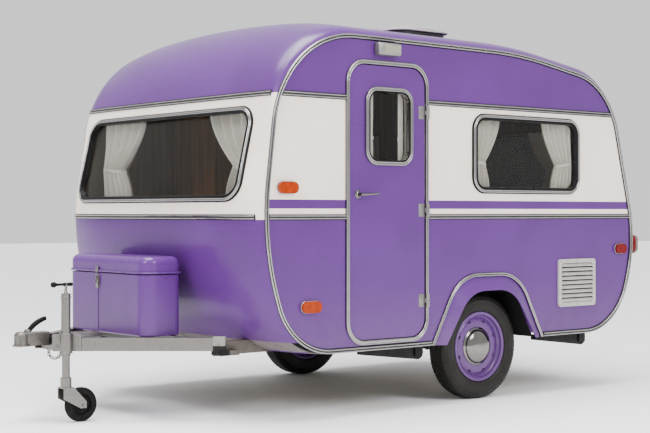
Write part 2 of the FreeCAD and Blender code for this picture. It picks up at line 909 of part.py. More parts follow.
def make_roof_vent():
    """Make the roof vent: a frame that follows the roof and a domed lid hinged at its rear."""
    half = roof_vent_size / 2
    centre_y = at(roof_vent_centre_reach)
    roof_top = body_base + body_height + roof_crown
    rim_top = roof_top + roof_vent_rise

    def block(grow, z0, z1, radius):
        low = (roof_vent_offset - half - grow, centre_y - half - grow, z0)
        high = (roof_vent_offset + half + grow, centre_y + half + grow, z1)
        return rounded_block(low, high, radius, 2)

    outer = block(roof_vent_frame, roof_seam_height, rim_top, roof_lid_corner)
    flange = outer.cut(outer_form)
    throat = block(-fit_gap, roof_seam_height, rim_top, roof_vent_frame).cut(inner_form)
    hole = block(-roof_vent_frame / 2, roof_seam_height - overrun, roof_top + overrun, roof_vent_frame / 2)
    frame = flange.fuse(throat).cut(hole)
    base = rim_top + roof_vent_gap
    top = base + roof_lid_height
    middle = Vector(roof_vent_offset, centre_y, top - roof_lid_dome)
    lid = block(roof_lid_overhang, base, top, roof_lid_corner)
    lid = lid.common(Part.makeSphere(roof_lid_dome, middle))
    room = block(roof_lid_overhang - roof_lid_skin, base - overrun, top, roof_lid_corner - roof_lid_skin)
    lid = lid.cut(room.common(Part.makeSphere(roof_lid_dome - roof_lid_skin, middle)))
    frame_end = centre_y + half + roof_vent_frame
    near = centre_y + half + roof_lid_overhang
    hinge_y = near + lid_hinge_barrel / 2
    low = rim_top - lid_hinge_drop / 2
    fixed_leaves = ((frame_end, hinge_y, low, rim_top), (near, hinge_y, low, base))
    moving_leaves = ((near, hinge_y, base, base + roof_lid_leaf),)
    still, turning = lid_hinge(roof_vent_offset, hinge_y, base, vent_hinge_width, fixed_leaves, moving_leaves)
    nodes["roof_vent_frame"] = [union([frame, still])]
    nodes["roof_vent_lid"] = [union([lid, turning])]


def drawbar_point(along, out):
    """Give the place at some distance along the left drawbar rail and out from its middle."""
    start = Vector(drawbar_tail_offset, at(-drawbar_tail_reach), 0)
    angle = math.radians(drawbar_angle)
    forward = Vector(-math.sin(angle), -math.cos(angle), 0)
    outward = Vector(math.cos(angle), -math.sin(angle), 0)
    return start + forward * along + outward * out


drawbar_run = (drawbar_tail_offset - drawbar_nose_offset) / math.sin(math.radians(drawbar_angle))


def drawbar_block(start, end, inner, outer, z0, z1):
    """Make a block along the left drawbar rail."""
    points = []
    for along, out in ((start, inner), (end, inner), (end, outer), (start, outer)):
        point = drawbar_point(along, out)
        points.append(Vector(point.x, point.y, z0))
    face = Part.Face(Part.makePolygon(points + [points[0]]))
    return face.extrude(Vector(0, 0, z1 - z0))


def make_drawbar():
    """Make the two hollow drawbar rails with their cross bars, head plate, overrun tube and chain."""
    half = drawbar_width / 2
    top = drawbar_base + drawbar_height
    rail = drawbar_block(0, drawbar_run, -half, half, drawbar_base, top)
    hollow = drawbar_block(-overrun, drawbar_run + overrun, -half + drawbar_wall, half - drawbar_wall,
                           drawbar_base + drawbar_wall, top - drawbar_wall)
    bars = []
    for reach in (bearer_front_reach, bearer_rear_reach):
        y0 = at(-reach)
        across = box((-body_width, y0, top - bearer_height), (body_width, y0 + bearer_width, top))
        between = drawbar_block(0, drawbar_run, -2 * body_width, -half, drawbar_base, top)
        bars.append(across.common(between).common(mirrored(between)))
    head_low = at(-drawbar_head_reach)
    plate = box((-drawbar_nose_offset, head_low, drawbar_base),
                (drawbar_nose_offset, head_low + drawbar_head_length, top + drawbar_wall))
    nose = drawbar_block(0, drawbar_run + overrun, -half, half, drawbar_base, top + drawbar_wall)
    plate = plate.cut([nose, mirrored(nose)])
    shaft_z = coupling_height + coupling_rise
    bellows_end = at(-coupling_reach) + coupling_length + bellows_length
    sleeve = rod(overrun_diameter / 2, (0, head_low - overrun, shaft_z), (0, bellows_end, shaft_z))
    tube = rod(overrun_diameter / 2, (0, bellows_end, shaft_z), (0, bellows_end + overrun_length, shaft_z))
    links = chain_links()
    eyes = [links[0], links[-1]]
    frame = [rail.cut(hollow), mirrored(rail.cut(hollow)), plate.cut(sleeve), tube] + bars + eyes
    nodes["drawbar_frame"] = [union(frame)]
    nodes["safety_chain"] = links[1:-1]


def rail_bracket():
    """Make the left bracket that takes the drawbar rail's end and steps down to the chassis rail."""
    half = drawbar_width / 2
    skin = drawbar_wall
    top = drawbar_base + drawbar_height
    cup = drawbar_block(-skin, bracket_length, -half - skin, half + skin, body_base + fit_gap, top + skin)
    pocket = drawbar_block(0, bracket_length + overrun, -half, half, drawbar_base, top)
    gusset = box((rail_offset - rail_width / 2, at(-rail_front_reach) - bracket_length, body_base + fit_gap),
                 (drawbar_tail_offset + half, at(-rail_front_reach) + bracket_length, drawbar_base))
    return cup.cut(pocket).fuse(gusset)


def make_chassis():
    """Make the chassis rails, cross members and outriggers under the floor."""
    inner = rail_offset - rail_width / 2
    outer = rail_offset + rail_width / 2
    rail = box((inner, at(-rail_front_reach), body_base + rail_drop),
               (outer, at(rail_rear_reach), floor_base))
    shapes = on_both_sides(rail) + on_both_sides(rail_bracket())
    cross_base = floor_base - cross_member_height
    for reach in (-front_cross_reach, steady_front_reach, steady_rear_reach, rail_rear_reach - rail_width):
        y = at(reach)
        shapes.append(box((-rail_offset, y - rail_width / 2, cross_base),
                          (rail_offset, y + rail_width / 2, floor_base)))
    half_arm = outrigger_width / 2
    cheek_inner = steady_thickness / 2 + steady_gap
    cheek_outer = cheek_inner + steady_cheek
    for reach in (steady_front_reach, steady_rear_reach):
        y = at(reach)
        parts = [box((rail_offset, y - half_arm, cross_base), (outrigger_reach, y + half_arm, floor_base))]
        for x0, x1 in ((-cheek_outer, -cheek_inner), (cheek_inner, cheek_outer)):
            parts.append(box((steady_offset + x0, y - half_arm, steady_pivot_height - steady_cheek_drop),
                             (steady_offset + x1, y + half_arm, floor_base)))
        parts.append(rod(steady_pin / 2, (steady_offset - cheek_outer, y, steady_pivot_height),
                         (steady_offset + cheek_outer, y, steady_pivot_height)))
        shapes.extend(on_both_sides(union(parts)))
    nodes["chassis"] = [union(shapes)]
    make_steadies()


def make_steadies():
    """Make the four corner steadies, folded up under the sills."""
    for name, reach in (("front", steady_front_reach), ("rear", steady_rear_reach)):
        y = at(reach)
        z = steady_pivot_height
        x0 = steady_offset - steady_thickness / 2
        x1 = steady_offset + steady_thickness / 2
        head = rod(steady_head / 2, (x0, y, z), (x1, y, z))
        top = z + steady_head / 2
        far = y - steady_length + steady_foot
        points = [
            Vector(x0, y, top),
            Vector(x0, far, top),
            Vector(x0, far, top - steady_foot),
            Vector(x0, y, z - steady_head / 2),
        ]
        leg = Part.Face(Part.makePolygon(points + [points[0]])).extrude(Vector(steady_thickness, 0, 0))
        bore = rod(steady_pin / 2 + bearing_gap, (x0 - overrun, y, z), (x1 + overrun, y, z))
        steady = head.fuse(leg).cut(bore)
        nodes["steady_" + name + "_left"] = [steady]
        nodes["steady_" + name + "_right"] = [mirrored(steady)]


def turned(profile, centre):
    """Turn a closed (x, radius) outline about the wheel's axis."""
    points = [Vector(x, centre[1], centre[2] + radius) for x, radius in profile]
    face = Part.Face(Part.makePolygon(points + [points[0]]))
    return face.revolve(Vector(*centre), Vector(1, 0, 0), 360)


def make_wheels():
    """Make the axle with its swing arms, and each wheel with its drum, rim, tyre and hub cap."""
    middle = wheel_track / 2
    height = tyre_diameter / 2
    centre = (middle, at(0), height)
    bead = rim_diameter / 2
    flange = bead + rim_flange
    half = tyre_width / 2
    seat = rim_width / 2 - rim_metal
    outer = [(seat, bead + fit_gap), (seat, flange + fit_gap)]
    for across, up in tyre_shares:
        outer.append((across * half, flange + up * (height - flange)))
    inner = [(-across, radius) for across, radius in reversed(outer)]
    tyre = turned([(middle + across, radius) for across, radius in outer + inner], centre)
    rim = turned([(middle + across, bead - drop) for across, drop in rim_outline], centre)
    disc_x = middle + disc_offset
    cap = turned([(disc_x + out, radius) for out, radius in hub_cap_outline], centre)
    drum_end = disc_x - rim_metal
    drum = turned((
        (drum_end - drum_width, stub_diameter / 2 + bearing_gap),
        (drum_end - drum_width, drum_diameter / 2),
        (drum_end, drum_diameter / 2),
        (drum_end, stub_diameter / 2 + bearing_gap),
    ), centre)
    for side, turn in (("left", lambda shape: shape), ("right", mirrored)):
        nodes["tyre_" + side] = [turn(tyre)]
        nodes["wheel_rim_" + side] = [turn(rim)]
        nodes["brake_drum_" + side] = [turn(drum)]
        nodes["hub_cap_" + side] = [turn(cap)]
    beam_end = middle - half - axle_end_gap
    beam_y = at(-swing_arm_reach)
    top = body_base + axle_rise
    arm_start = beam_end - swing_arm_width
    ahead, behind = swing_arm_ends
    beam = box((-beam_end, beam_y - axle_tube / 2, top - axle_tube), (beam_end, beam_y + axle_tube / 2, top))
    arm = box((arm_start, beam_y - ahead, height - swing_arm_drop),
              (beam_end, at(0) + behind, height + swing_arm_drop))
    stub = rod(stub_diameter / 2, (arm_start, at(0), height), (drum_end, at(0), height))
    parts = [beam]
    for shape in (arm, stub):
        parts.extend(on_both_sides(shape))
    nodes["axle"] = [union(parts)]


def make_coupling():
    """Make the ball coupling with its domed, skirted head, its curved lever and the bellows."""
    tip = at(-coupling_reach)
    ball_y = tip + coupling_ball_reach
    back = tip + coupling_length
    mouth = coupling_height - coupling_skirt
    top = coupling_height + coupling_top
    half_tail = coupling_tail_width / 2
    dome = rod(coupling_width / 2, (0, ball_y, mouth), (0, ball_y, top))
    dome = dome.makeFillet(coupling_crown, edges_at(dome, top, fit_gap))
    tail_top = top - coupling_tail_drop
    tail = plan_block((-half_tail, ball_y, mouth), (half_tail, back, tail_top),
                      coupling_tail_corner, coupling_tail_corner)
    tail = tail.makeFillet(coupling_tail_round, edges_at(tail, tail_top, fit_gap))
    skirt = rod(coupling_ball_reach, (0, ball_y, mouth), (0, ball_y, mouth + coupling_skirt_height))
    socket = rod(coupling_ball / 2, (0, ball_y, mouth - overrun), (0, ball_y, mouth + coupling_socket_depth))
    body = union([dome, tail, skirt]).cut(socket)
    nodes["coupling_head"] = [body]
    nodes["coupling_lever"] = [lever_grip(tip + lever_front, top - coupling_tail_corner).cut(body)]
    shaft_z = coupling_height + coupling_rise
    sleeve = rod(bellows_diameter / 2, (0, back, shaft_z), (0, back + bellows_length, shaft_z))
    nodes["overrun_bellows"] = [sleeve]


def lever_grip(y, z):
    """Sweep the coupling's lever along a curve that rises to the rear."""
    length = math.hypot(lever_run, lever_rise)
    start = Vector(0, y, z)
    end = Vector(0, y + lever_run, z + lever_rise)
    lift = Vector(0, -lever_rise, lever_run) * (lever_bulge / length)
    curve = Part.Arc(start, (start + end) / 2 + lift, end).toShape()
    ahead = curve.tangentAt(curve.FirstParameter)
    ring = Part.Wire(Part.makeCircle(lever_radius, start, ahead))
    return Part.Wire(curve).makePipe(Part.Face(ring))


def make_jockey():
    """Make the jockey wheel: clamp, sleeve with crank, sliding stem, swivelling fork and wheel."""
    outer = jockey_outer_tube / 2
    inner = jockey_inner_tube / 2
    back = outer + jockey_clamp_wall
    stem = drawbar_point(jockey_along, drawbar_width / 2 + fit_gap + back)
    x = stem.x
    y = stem.y
    clamp_top = jockey_clamp_base + jockey_clamp_height
    clamp = rod(outer + jockey_clamp_wall, (x, y, jockey_clamp_base), (x, y, clamp_top))
    face = drawbar_width / 2 + fit_gap
    plate = drawbar_block(jockey_along - jockey_clamp_reach, jockey_along + jockey_clamp_reach,
                          face, face + jockey_clamp_wall,
                          jockey_clamp_base + jockey_clamp_wall, clamp_top - jockey_clamp_wall)
    bore = rod(outer, (x, y, 0), (x, y, jockey_top))
    nodes["jockey_clamp"] = [clamp.fuse(plate).cut(bore)]
    sleeve_base = jockey_clamp_base - jockey_sleeve_drop
    sleeve = pipe(outer, inner + jockey_slide_gap, (x, y, sleeve_base), (x, y, jockey_top))
    cap = rod(outer, (x, y, jockey_top), (x, y, jockey_top + jockey_cap_height))
    nodes["jockey_sleeve"] = [union([sleeve, cap])]
    handle_z = jockey_top + jockey_cap_height + crank_rise
    shaft = rod(crank_radius, (x, y, jockey_top + jockey_cap_height), (x, y, handle_z))
    bar = rod(crank_radius, (x, y + crank_tail, handle_z), (x, y - crank_reach, handle_z))
    end = rod(crank_end_radius, (x, y + crank_tail / 3, handle_z), (x, y + crank_tail, handle_z))
    knob = Part.makeSphere(2 * crank_radius, Vector(x, y - crank_reach, handle_z))
    nodes["jockey_crank"] = [union([shaft, bar, end, knob])]
    socket_base = jockey_collar_top - jockey_collar_height + jockey_fork_plate
    stem_base = socket_base + fit_gap
    nodes["jockey_stem"] = [pipe(inner, inner - jockey_tube_wall, (x, y, stem_base), (x, y, jockey_stem_top))]
    make_jockey_wheel(x, y, socket_base)


def make_jockey_wheel(x, y, socket_base):
    """Make the swivelling fork and the small wheel that trails in it."""
    inner = jockey_inner_tube / 2
    collar_radius = jockey_outer_tube / 2 + jockey_fork_plate
    radius = jockey_wheel_diameter / 2
    wheel_y = y + jockey_trail
    half = jockey_wheel_width / 2 + jockey_fork_gap
    base = jockey_collar_top - jockey_collar_height
    collar = rod(collar_radius, (x, y, base), (x, y, jockey_collar_top))
    crown = box((x - half - jockey_fork_plate, y - collar_radius, base),
                (x + half + jockey_fork_plate, y + collar_radius, base + jockey_fork_plate))
    plates = [collar, crown]
    ear = 1.5 * jockey_axle
    for px in (x - half - jockey_fork_plate, x + half):
        corners = [
            Vector(px, y - collar_radius, base + jockey_fork_plate),
            Vector(px, y + collar_radius, base + jockey_fork_plate),
            Vector(px, wheel_y + ear, radius + ear),
            Vector(px, wheel_y + ear, radius - ear),
            Vector(px, wheel_y - ear, radius - ear),
            Vector(px, y - collar_radius, base - jockey_collar_height),
        ]
        face = Part.Face(Part.makePolygon(corners + [corners[0]]))
        plates.append(face.extrude(Vector(jockey_fork_plate, 0, 0)))
    plates.append(rod(jockey_axle / 2, (x - half, wheel_y, radius), (x + half, wheel_y, radius)))
    socket = rod(inner + bearing_gap, (x, y, socket_base), (x, y, jockey_top))
    nodes["jockey_fork"] = [union(plates).cut(socket)]
    half_wheel = jockey_wheel_width / 2
    outer = [(jockey_wheel_shares[0][0] * half_wheel, jockey_axle / 2 + bearing_gap)]
    for across, out in jockey_wheel_shares:
        outer.append((across * half_wheel, out * radius))
    other = [(-across, out) for across, out in reversed(outer)]
    outline = [(x + across, out) for across, out in outer + other]
    nodes["jockey_wheel"] = [turned(outline, (x, wheel_y, radius))]


def lid_hinge(middle_x, y, z, width, fixed_leaves, moving_leaves):
    """Make a barrel hinge along X: two fixed knuckles with the pin, and the moving one between them."""
    radius = lid_hinge_barrel / 2
    third = width / 3
    x0 = middle_x - width / 2
    x1 = middle_x + width / 2
    fixed = [rod(lid_hinge_pin / 2, (x0, y, z), (x1, y, z))]
    for low, high in ((x0, x0 + third), (x1 - third, x1)):
        fixed.append(rod(radius, (low, y, z), (high, y, z)))
        for y0, y1, z0, z1 in fixed_leaves:
            fixed.append(box((low, y0, z0), (high, y1, z1)))
    low = x0 + third + fit_gap
    high = x1 - third - fit_gap
    moving = [rod(radius, (low, y, z), (high, y, z))]
    for y0, y1, z0, z1 in moving_leaves:
        moving.append(box((low, y0, z0), (high, y1, z1)))
    bore = rod(lid_hinge_pin / 2 + bearing_gap, (x0, y, z), (x1, y, z))
    return union(fixed), union(moving).cut(bore)


def locker_block(inset, z0, z1):
    """Make a round-cornered block of the locker's plan."""
    low = (-locker_width / 2 + inset, at(-locker_rear_reach) - locker_depth + inset, z0)
    high = (locker_width / 2 - inset, at(-locker_rear_reach) - inset, z1)
    return plan_block(low, high, locker_corner - inset, locker_rear_corner - inset)


def make_locker():
    """Make the gas locker on the drawbar, with its hinged crowned lid and latch."""
    base = drawbar_base + drawbar_height
    body = locker_block(0, base, base + locker_height)
    body = body.makeFillet(locker_foot_round, edges_at(body, base, fit_gap))
    floor_z = base + locker_foot_round
    hollow = locker_block(locker_skin, floor_z, base + locker_height + overrun)
    nodes["locker_body"] = [body.cut(hollow)]
    lid_base = base + locker_height + locker_joint
    lid_top = lid_base + locker_lid_height
    lid = locker_block(0, lid_base, lid_top)
    lid = lid.makeFillet(locker_lid_crown, edges_at(lid, lid_top, fit_gap))
    room = locker_block(locker_skin, lid_base - overrun, lid_top - locker_skin)
    room = room.makeFillet(locker_lid_crown - locker_skin, edges_at(room, lid_top - locker_skin, fit_gap))
    lip = locker_block(-locker_lid_lip, lid_base, lid_base + locker_lip_height)
    lid = lid.fuse(lip).cut(room)
    rear = at(-locker_rear_reach)
    near = rear + locker_lid_lip
    hinge_y = near + lid_hinge_barrel / 2
    low = lid_base - lid_hinge_drop
    fixed_leaves = ((near, hinge_y, low, lid_base), (rear, hinge_y, low, lid_base - 2 * lid_hinge_barrel))
    moving_leaves = ((near, hinge_y, lid_base, lid_base + locker_lip_height),)
    fixed = []
    moving = []
    for x in (-locker_hinge_offset, locker_hinge_offset):
        still, turning = lid_hinge(x, hinge_y, lid_base, locker_hinge_width, fixed_leaves, moving_leaves)
        fixed.append(still)
        moving.append(turning)
    nodes["locker_lid"] = [union([lid] + moving)]
    nodes["locker_body"] = [union(nodes["locker_body"] + fixed)]
    front = at(-locker_rear_reach) - locker_depth
    width, depth, height = latch_size
    latch_top = base + locker_height - latch_drop
    nodes["locker_latch"] = [box((-latch_offset - width / 2, front - depth, latch_top - height),
                                 (-latch_offset + width / 2, front, latch_top))]


def chain_links():
    """Make the links of the hanging loop, from one welded eye to the other."""
    turn = 2 * math.asin(chain_pitch / 2 / chain_loop_radius)
    count = int(2 * chain_half_turn / turn)
    eye_angle = count / 2 * turn
    centre_z = drawbar_base - chain_eye_drop + chain_loop_radius * math.cos(eye_angle)
    links = []
    for index in range(count + 1):
        angle = index * turn - eye_angle
        along = Vector(0, math.cos(angle), math.sin(angle))
        y = at(-chain_reach) + chain_loop_radius * math.sin(angle)
        place = Vector(0, y, centre_z - chain_loop_radius * math.cos(angle))
        across = Vector(1, 0, 0)
        upward = along.cross(across)
        if index % 2 == 0:
            links.append(chain_link(place, along, upward, across))
        else:
            links.append(chain_link(place, along, across, upward))
    return links


def chain_link(place, along, aside, normal):
    """Make one flat link: a many-sided ring in the plane of two directions, as thick as its wire."""
    rings = []
    for radius in (chain_link_radius + chain_wire / 2, chain_link_radius - chain_wire / 2):
        corners = []
        for index in range(chain_link_sides):
            angle = 2 * math.pi * index / chain_link_sides
            spoke = along * math.cos(angle) + aside * math.sin(angle)
            corners.append(place + spoke * radius - normal * (chain_wire / 2))
        face = Part.Face(Part.makePolygon(corners + [corners[0]]))
        rings.append(face.extrude(normal * chain_wire))
    return rings[0].cut(rings[1])


floor_top = floor_base + floor_thickness
cabin_side = inner_side - cabinet_gap


def cabinet(size, x0, y0):
    """Make a cabinet of thin boards on the floor."""
    x1 = x0 + size[0]
    y1 = y0 + size[1]
    top = floor_top + size[2]
    inside = box((x0 + board, y0 + board, floor_top), (x1 - board, y1 - board, top - board))
    return box((x0, y0, floor_top), (x1, y1, top)).cut(inside)


def make_furniture():
    """Make the plain wooden cabinets, benches and table that show through the windows."""
    shapes = [
        cabinet(kitchen_size, -kitchen_size[0] / 2, at(-kitchen_front_reach)),
        cabinet(wardrobe_size, -cabin_side, at(-wardrobe_front_reach)),
        cabinet(bench_size, -cabin_side, at(bench_front_reach)),
        cabinet(bench_size, cabin_side - bench_size[0], at(bench_front_reach)),
    ]
    middle_y = at(bench_front_reach) + bench_size[1] / 2
    top = box((-table_size[0] / 2, middle_y - table_size[1] / 2, floor_top + table_size[2] - table_thickness),
              (table_size[0] / 2, middle_y + table_size[1] / 2, floor_top + table_size[2]))
    leg = rod(table_leg / 2, (0, middle_y, floor_top), (0, middle_y, floor_top + table_size[2] - table_thickness))
    shapes.append(top.fuse(leg))
    nodes["furniture"] = shapes


def hang_pair(places, axis, fixed, base, top):
    """Make a pair of closed curtain solids at the two ends of a window."""
    shapes = []
    width = (places[1] - places[0]) * curtain_share
    for start, end in ((places[0], places[0] + width), (places[1] - width, places[1])):
        low = [start, start, base]
        high = [end, end, top]
        across = 1 - axis
        low[across] = fixed - curtain_thickness / 2
        high[across] = fixed + curtain_thickness / 2
        shapes.append(box(low, high))
    return shapes


def make_curtains():
    """Make the curtain rods and the closed solids that stand for the tied curtains."""
    rods = []
    cloths = []
    reach = inner_side - fit_gap
    radius = curtain_rod / 2
    for sill, sizes, y in (
        (front_window_sill, front_window_size, at(-front_curtain_reach)),
        (rear_window_sill, rear_window_size, at(rear_curtain_reach)),
    ):
        z = sill + sizes[1] + curtain_rod
        rods.append(rod(radius, (-reach, y, z), (reach, y, z)))
        ends = (-sizes[0] / 2, sizes[0] / 2)
        cloths.extend(hang_pair(ends, 0, y, sill - curtain_rod, z - radius - fit_gap))
    for side, windows in side_windows.items():
        for y_pair, z_pair, _ in windows:
            x = inner_side - curtain_stand_off
            z = z_pair[1] + curtain_rod
            bar = [rod(radius, (x, y_pair[0], z), (x, y_pair[1], z))]
            for y in y_pair:
                bar.append(rod(radius, (x, y, z), (reach, y, z)))
            bar = union(bar)
            pair = hang_pair(y_pair, 1, x, z_pair[0] - curtain_rod, z - radius - fit_gap)
            rods.append(bar if side == "left" else mirrored(bar))
            for cloth in pair:
                cloths.append(cloth if side == "left" else mirrored(cloth))
    nodes["curtain_rods"] = rods
    nodes["curtains"] = cloths
    x = inner_side - curtain_stand_off
    nodes["door_curtains"] = hang_pair(door_window_span, 1, x, door_window_sill - curtain_rod,
                                       door_window_rise[1] - fit_gap)


make_shell()
make_floor()
make_flares()
make_mouldings()
make_trims()
make_windows()
make_door()
make_lamps()
make_grille()
make_roof_vent()
make_drawbar()
make_chassis()
make_wheels()
make_coupling()
make_jockey()
make_locker()
make_furniture()
make_curtains()


def save_nodes():
    """Write each node as one STEP file."""
    os.makedirs("parts", exist_ok=True)
    for name, shapes in nodes.items():
        solids = []
        for shape in shapes:
            solids.extend(shape.Solids)
        if len(solids) == 1:
            solids[0].exportStep("parts/" + name + ".step")
        else:
            Part.makeCompound(solids).exportStep("parts/" + name + ".step")


save_nodes()
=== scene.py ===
"""Looks of a small touring caravan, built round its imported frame.

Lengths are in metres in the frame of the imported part: X runs across with the
door side at +X, the drawbar points to -Y, and Z is up.
"""
import json
import logging
import math
from dataclasses import dataclass
from enum import Enum

import bmesh
import bpy
import numpy as np
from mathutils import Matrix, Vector

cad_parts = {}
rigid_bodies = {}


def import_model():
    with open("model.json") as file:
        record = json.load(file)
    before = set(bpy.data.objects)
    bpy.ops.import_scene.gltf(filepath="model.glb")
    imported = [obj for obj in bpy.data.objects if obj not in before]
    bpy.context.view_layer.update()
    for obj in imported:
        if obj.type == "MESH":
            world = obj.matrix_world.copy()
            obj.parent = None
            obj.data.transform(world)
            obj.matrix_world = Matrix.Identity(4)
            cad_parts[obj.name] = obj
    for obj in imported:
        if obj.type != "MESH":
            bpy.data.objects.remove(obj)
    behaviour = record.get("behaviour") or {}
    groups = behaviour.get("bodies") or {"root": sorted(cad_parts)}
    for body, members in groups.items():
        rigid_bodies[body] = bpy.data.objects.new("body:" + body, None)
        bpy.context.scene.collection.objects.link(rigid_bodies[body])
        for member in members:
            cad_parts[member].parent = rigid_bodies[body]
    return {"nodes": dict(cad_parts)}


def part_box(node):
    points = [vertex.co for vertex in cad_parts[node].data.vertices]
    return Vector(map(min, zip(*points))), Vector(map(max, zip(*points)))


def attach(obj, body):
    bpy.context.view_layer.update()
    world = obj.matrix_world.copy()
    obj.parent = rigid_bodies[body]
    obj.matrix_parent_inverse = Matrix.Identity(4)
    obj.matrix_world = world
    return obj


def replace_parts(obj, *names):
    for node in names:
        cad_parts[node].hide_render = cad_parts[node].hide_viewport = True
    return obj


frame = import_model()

LOG = logging.getLogger("caravan")
MM = 0.001
# Sets the finishes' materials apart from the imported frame's own.
FINISH_END = "_finish"
# Points nearer than this are one point, and shorter edges than the second length are none.
MERGE_GAP = 1e-6
NO_LENGTH = 1e-7
# The middle part of a noise, through which patches of tone and gloss run from end to end.
PATCH_SPAN = (0.3, 0.7)
# How flat a screw's domed head is, as shares of a ball.
FLAT_HEAD = (1.0, 1.0, 0.5)
Pair = tuple[float, float]
Point = tuple[float, float, float]
# The points of a line, and whether it closes.
Line = tuple[list[Point], bool]
Tree = bpy.types.NodeTree
Node = bpy.types.Node
Socket = bpy.types.NodeSocket
Piece = bpy.types.Object


def linear(code: str) -> tuple[float, float, float, float]:
    """Turn an sRGB hex colour into the linear values that a shader takes.

    Args:
        code: The colour as seven characters, such as "#8b67a3".

    Returns:
        Linear red, green and blue, and an alpha of one.
    """
    channels = []
    for start in (1, 3, 5):
        # The curve is sRGB's own: straight near black, then a shifted power.
        value = int(code[start:start + 2], 16) / 255
        channels.append(value / 12.92 if value <= 0.04045 else ((value + 0.055) / 1.055) ** 2.4)
    return (*channels, 1.0)


def add_node(tree: Tree, kind: str, inputs: dict | None = None, **settings: object) -> Node:
    """Add one node with its settings, values and links.

    Args:
        tree: The node tree that gets the node.
        kind: The node's type name.
        inputs: Values or output sockets by input name or number.
        settings: Properties of the node, set first.

    Returns:
        The new node.
    """
    node = tree.nodes.new(kind)
    for name, value in settings.items():
        setattr(node, name, value)
    for key, value in (inputs or {}).items():
        if isinstance(value, bpy.types.NodeSocket):
            tree.links.new(value, node.inputs[key])
        else:
            node.inputs[key].default_value = value
    return node


def noise(tree: Tree, place: Socket, size_mm: float, detail: float, roughness: float = 0.5,
          distortion: float = 0.0) -> Socket:
    """Add a soft random pattern.

    Args:
        tree: The material's node tree.
        place: The coordinates of the pattern.
        size_mm: The size of its largest patches.
        detail: How many finer octaves it has.
        roughness: How strong each finer octave is.
        distortion: How far the patches are drawn out of shape.

    Returns:
        The pattern, from nought to one.
    """
    return add_node(tree, "ShaderNodeTexNoise", {
        "Vector": place, "Scale": 1 / (size_mm * MM), "Detail": detail, "Roughness": roughness,
        "Distortion": distortion}).outputs[0]


def spread(tree: Tree, value: Socket, span: Pair, ends: Pair = (0.0, 1.0), easing: str = "LINEAR") -> Socket:
    """Stretch a span of a value until it runs from one end to the other.

    Args:
        tree: The material's node tree.
        value: The value, which is held at the ends outside the span.
        span: Where the value meets the first end and the second.
        ends: The results there.
        easing: How the result runs between them.

    Returns:
        The stretched value.
    """
    inputs = {0: value, 1: span[0], 2: span[1], 3: ends[0], 4: ends[1]}
    return add_node(tree, "ShaderNodeMapRange", inputs, interpolation_type=easing).outputs[0]


def combine(tree: Tree, first: Socket, second: Socket | float, operation: str) -> Socket:
    """Work out one number from two by a math node's operation."""
    return add_node(tree, "ShaderNodeMath", {0: first, 1: second}, operation=operation).outputs[0]


def blend(tree: Tree, share: Socket, first: Socket | tuple, second: Socket | tuple) -> Socket:
    """Mix two colours, the first where the share is nought and the second where it is one."""
    return add_node(tree, "ShaderNodeMix", {0: share, 6: first, 7: second}, data_type="RGBA").outputs[2]


class Coordinates(Enum):
    """Where a finish takes its pattern's place from."""

    OBJECT = "Object"
    CLOTH = "UV"


@dataclass(frozen=True)
class Finish:
    """A surface finish with soft patches of tone, a fine grain and its gloss.

    Sizes are real ones in millimetres, and relief is the depth of the grain.
    """

    name: str
    light: str
    dark: str
    patch_mm: float
    grain_mm: float
    relief_mm: float
    roughness: Pair
    metallic: float = 0.0
    coat: float = 0.0
    sheen: float = 0.0
    alpha: float = 1.0
    subsurface: float = 0.0
    specular: float = 0.5
    detail: float = 5.0
    coordinates: Coordinates = Coordinates.OBJECT

    @property
    def wave_scale(self) -> float:
        """Give a wave texture the scale that sets its bands one grain size apart."""
        return math.pi / (10 * self.grain_mm * MM)

    def mottle(self, tree: Tree, place: Socket, light: str, dark: str) -> Socket:
        """Mix two tones in soft patches.

        Args:
            tree: The material's node tree.
            place: The coordinates of the pattern.
            light: The lighter tone.
            dark: The darker tone.

        Returns:
            The colour.
        """
        patches = noise(tree, place, self.patch_mm, self.detail)
        share = spread(tree, patches, PATCH_SPAN, easing="SMOOTHSTEP")
        return blend(tree, share, linear(light), linear(dark))

    def tone(self, tree: Tree, place: Socket) -> Socket:
        """Give the colour at each place."""
        return self.mottle(tree, place, self.light, self.dark)

    def relief(self, tree: Tree, place: Socket) -> Socket:
        """Give the height of the fine grain at each place."""
        return noise(tree, place, self.grain_mm, 3.0)

    def gloss(self, tree: Tree, place: Socket) -> Socket:
        """Give the roughness at each place, between the finish's two ends."""
        smears = noise(tree, place, 2 * self.patch_mm, self.detail, 0.65)
        return spread(tree, smears, PATCH_SPAN, self.roughness, "SMOOTHSTEP")

    def build(self) -> bpy.types.Material:
        """Make the material.

        Returns:
            The material.
        """
        material = bpy.data.materials.new(self.name + FINISH_END)
        material.use_nodes = True
        tree = material.node_tree
        shader = tree.nodes["Principled BSDF"]
        place = add_node(tree, "ShaderNodeTexCoord").outputs[self.coordinates.value]
        bump = add_node(tree, "ShaderNodeBump", {
            "Height": self.relief(tree, place), "Distance": self.relief_mm * MM, "Strength": 1.0})
        tree.links.new(self.tone(tree, place), shader.inputs["Base Color"])
        tree.links.new(self.gloss(tree, place), shader.inputs["Roughness"])
        tree.links.new(bump.outputs[0], shader.inputs["Normal"])
        constants = {
            "Metallic": self.metallic, "Coat Weight": self.coat, "Coat Roughness": 0.05,
            "Sheen Weight": self.sheen, "Alpha": self.alpha, "Specular IOR Level": self.specular,
            "Subsurface Weight": self.subsurface, "Subsurface Scale": 0.01,
        }
        for title, value in constants.items():
            shader.inputs[title].default_value = value
        return material


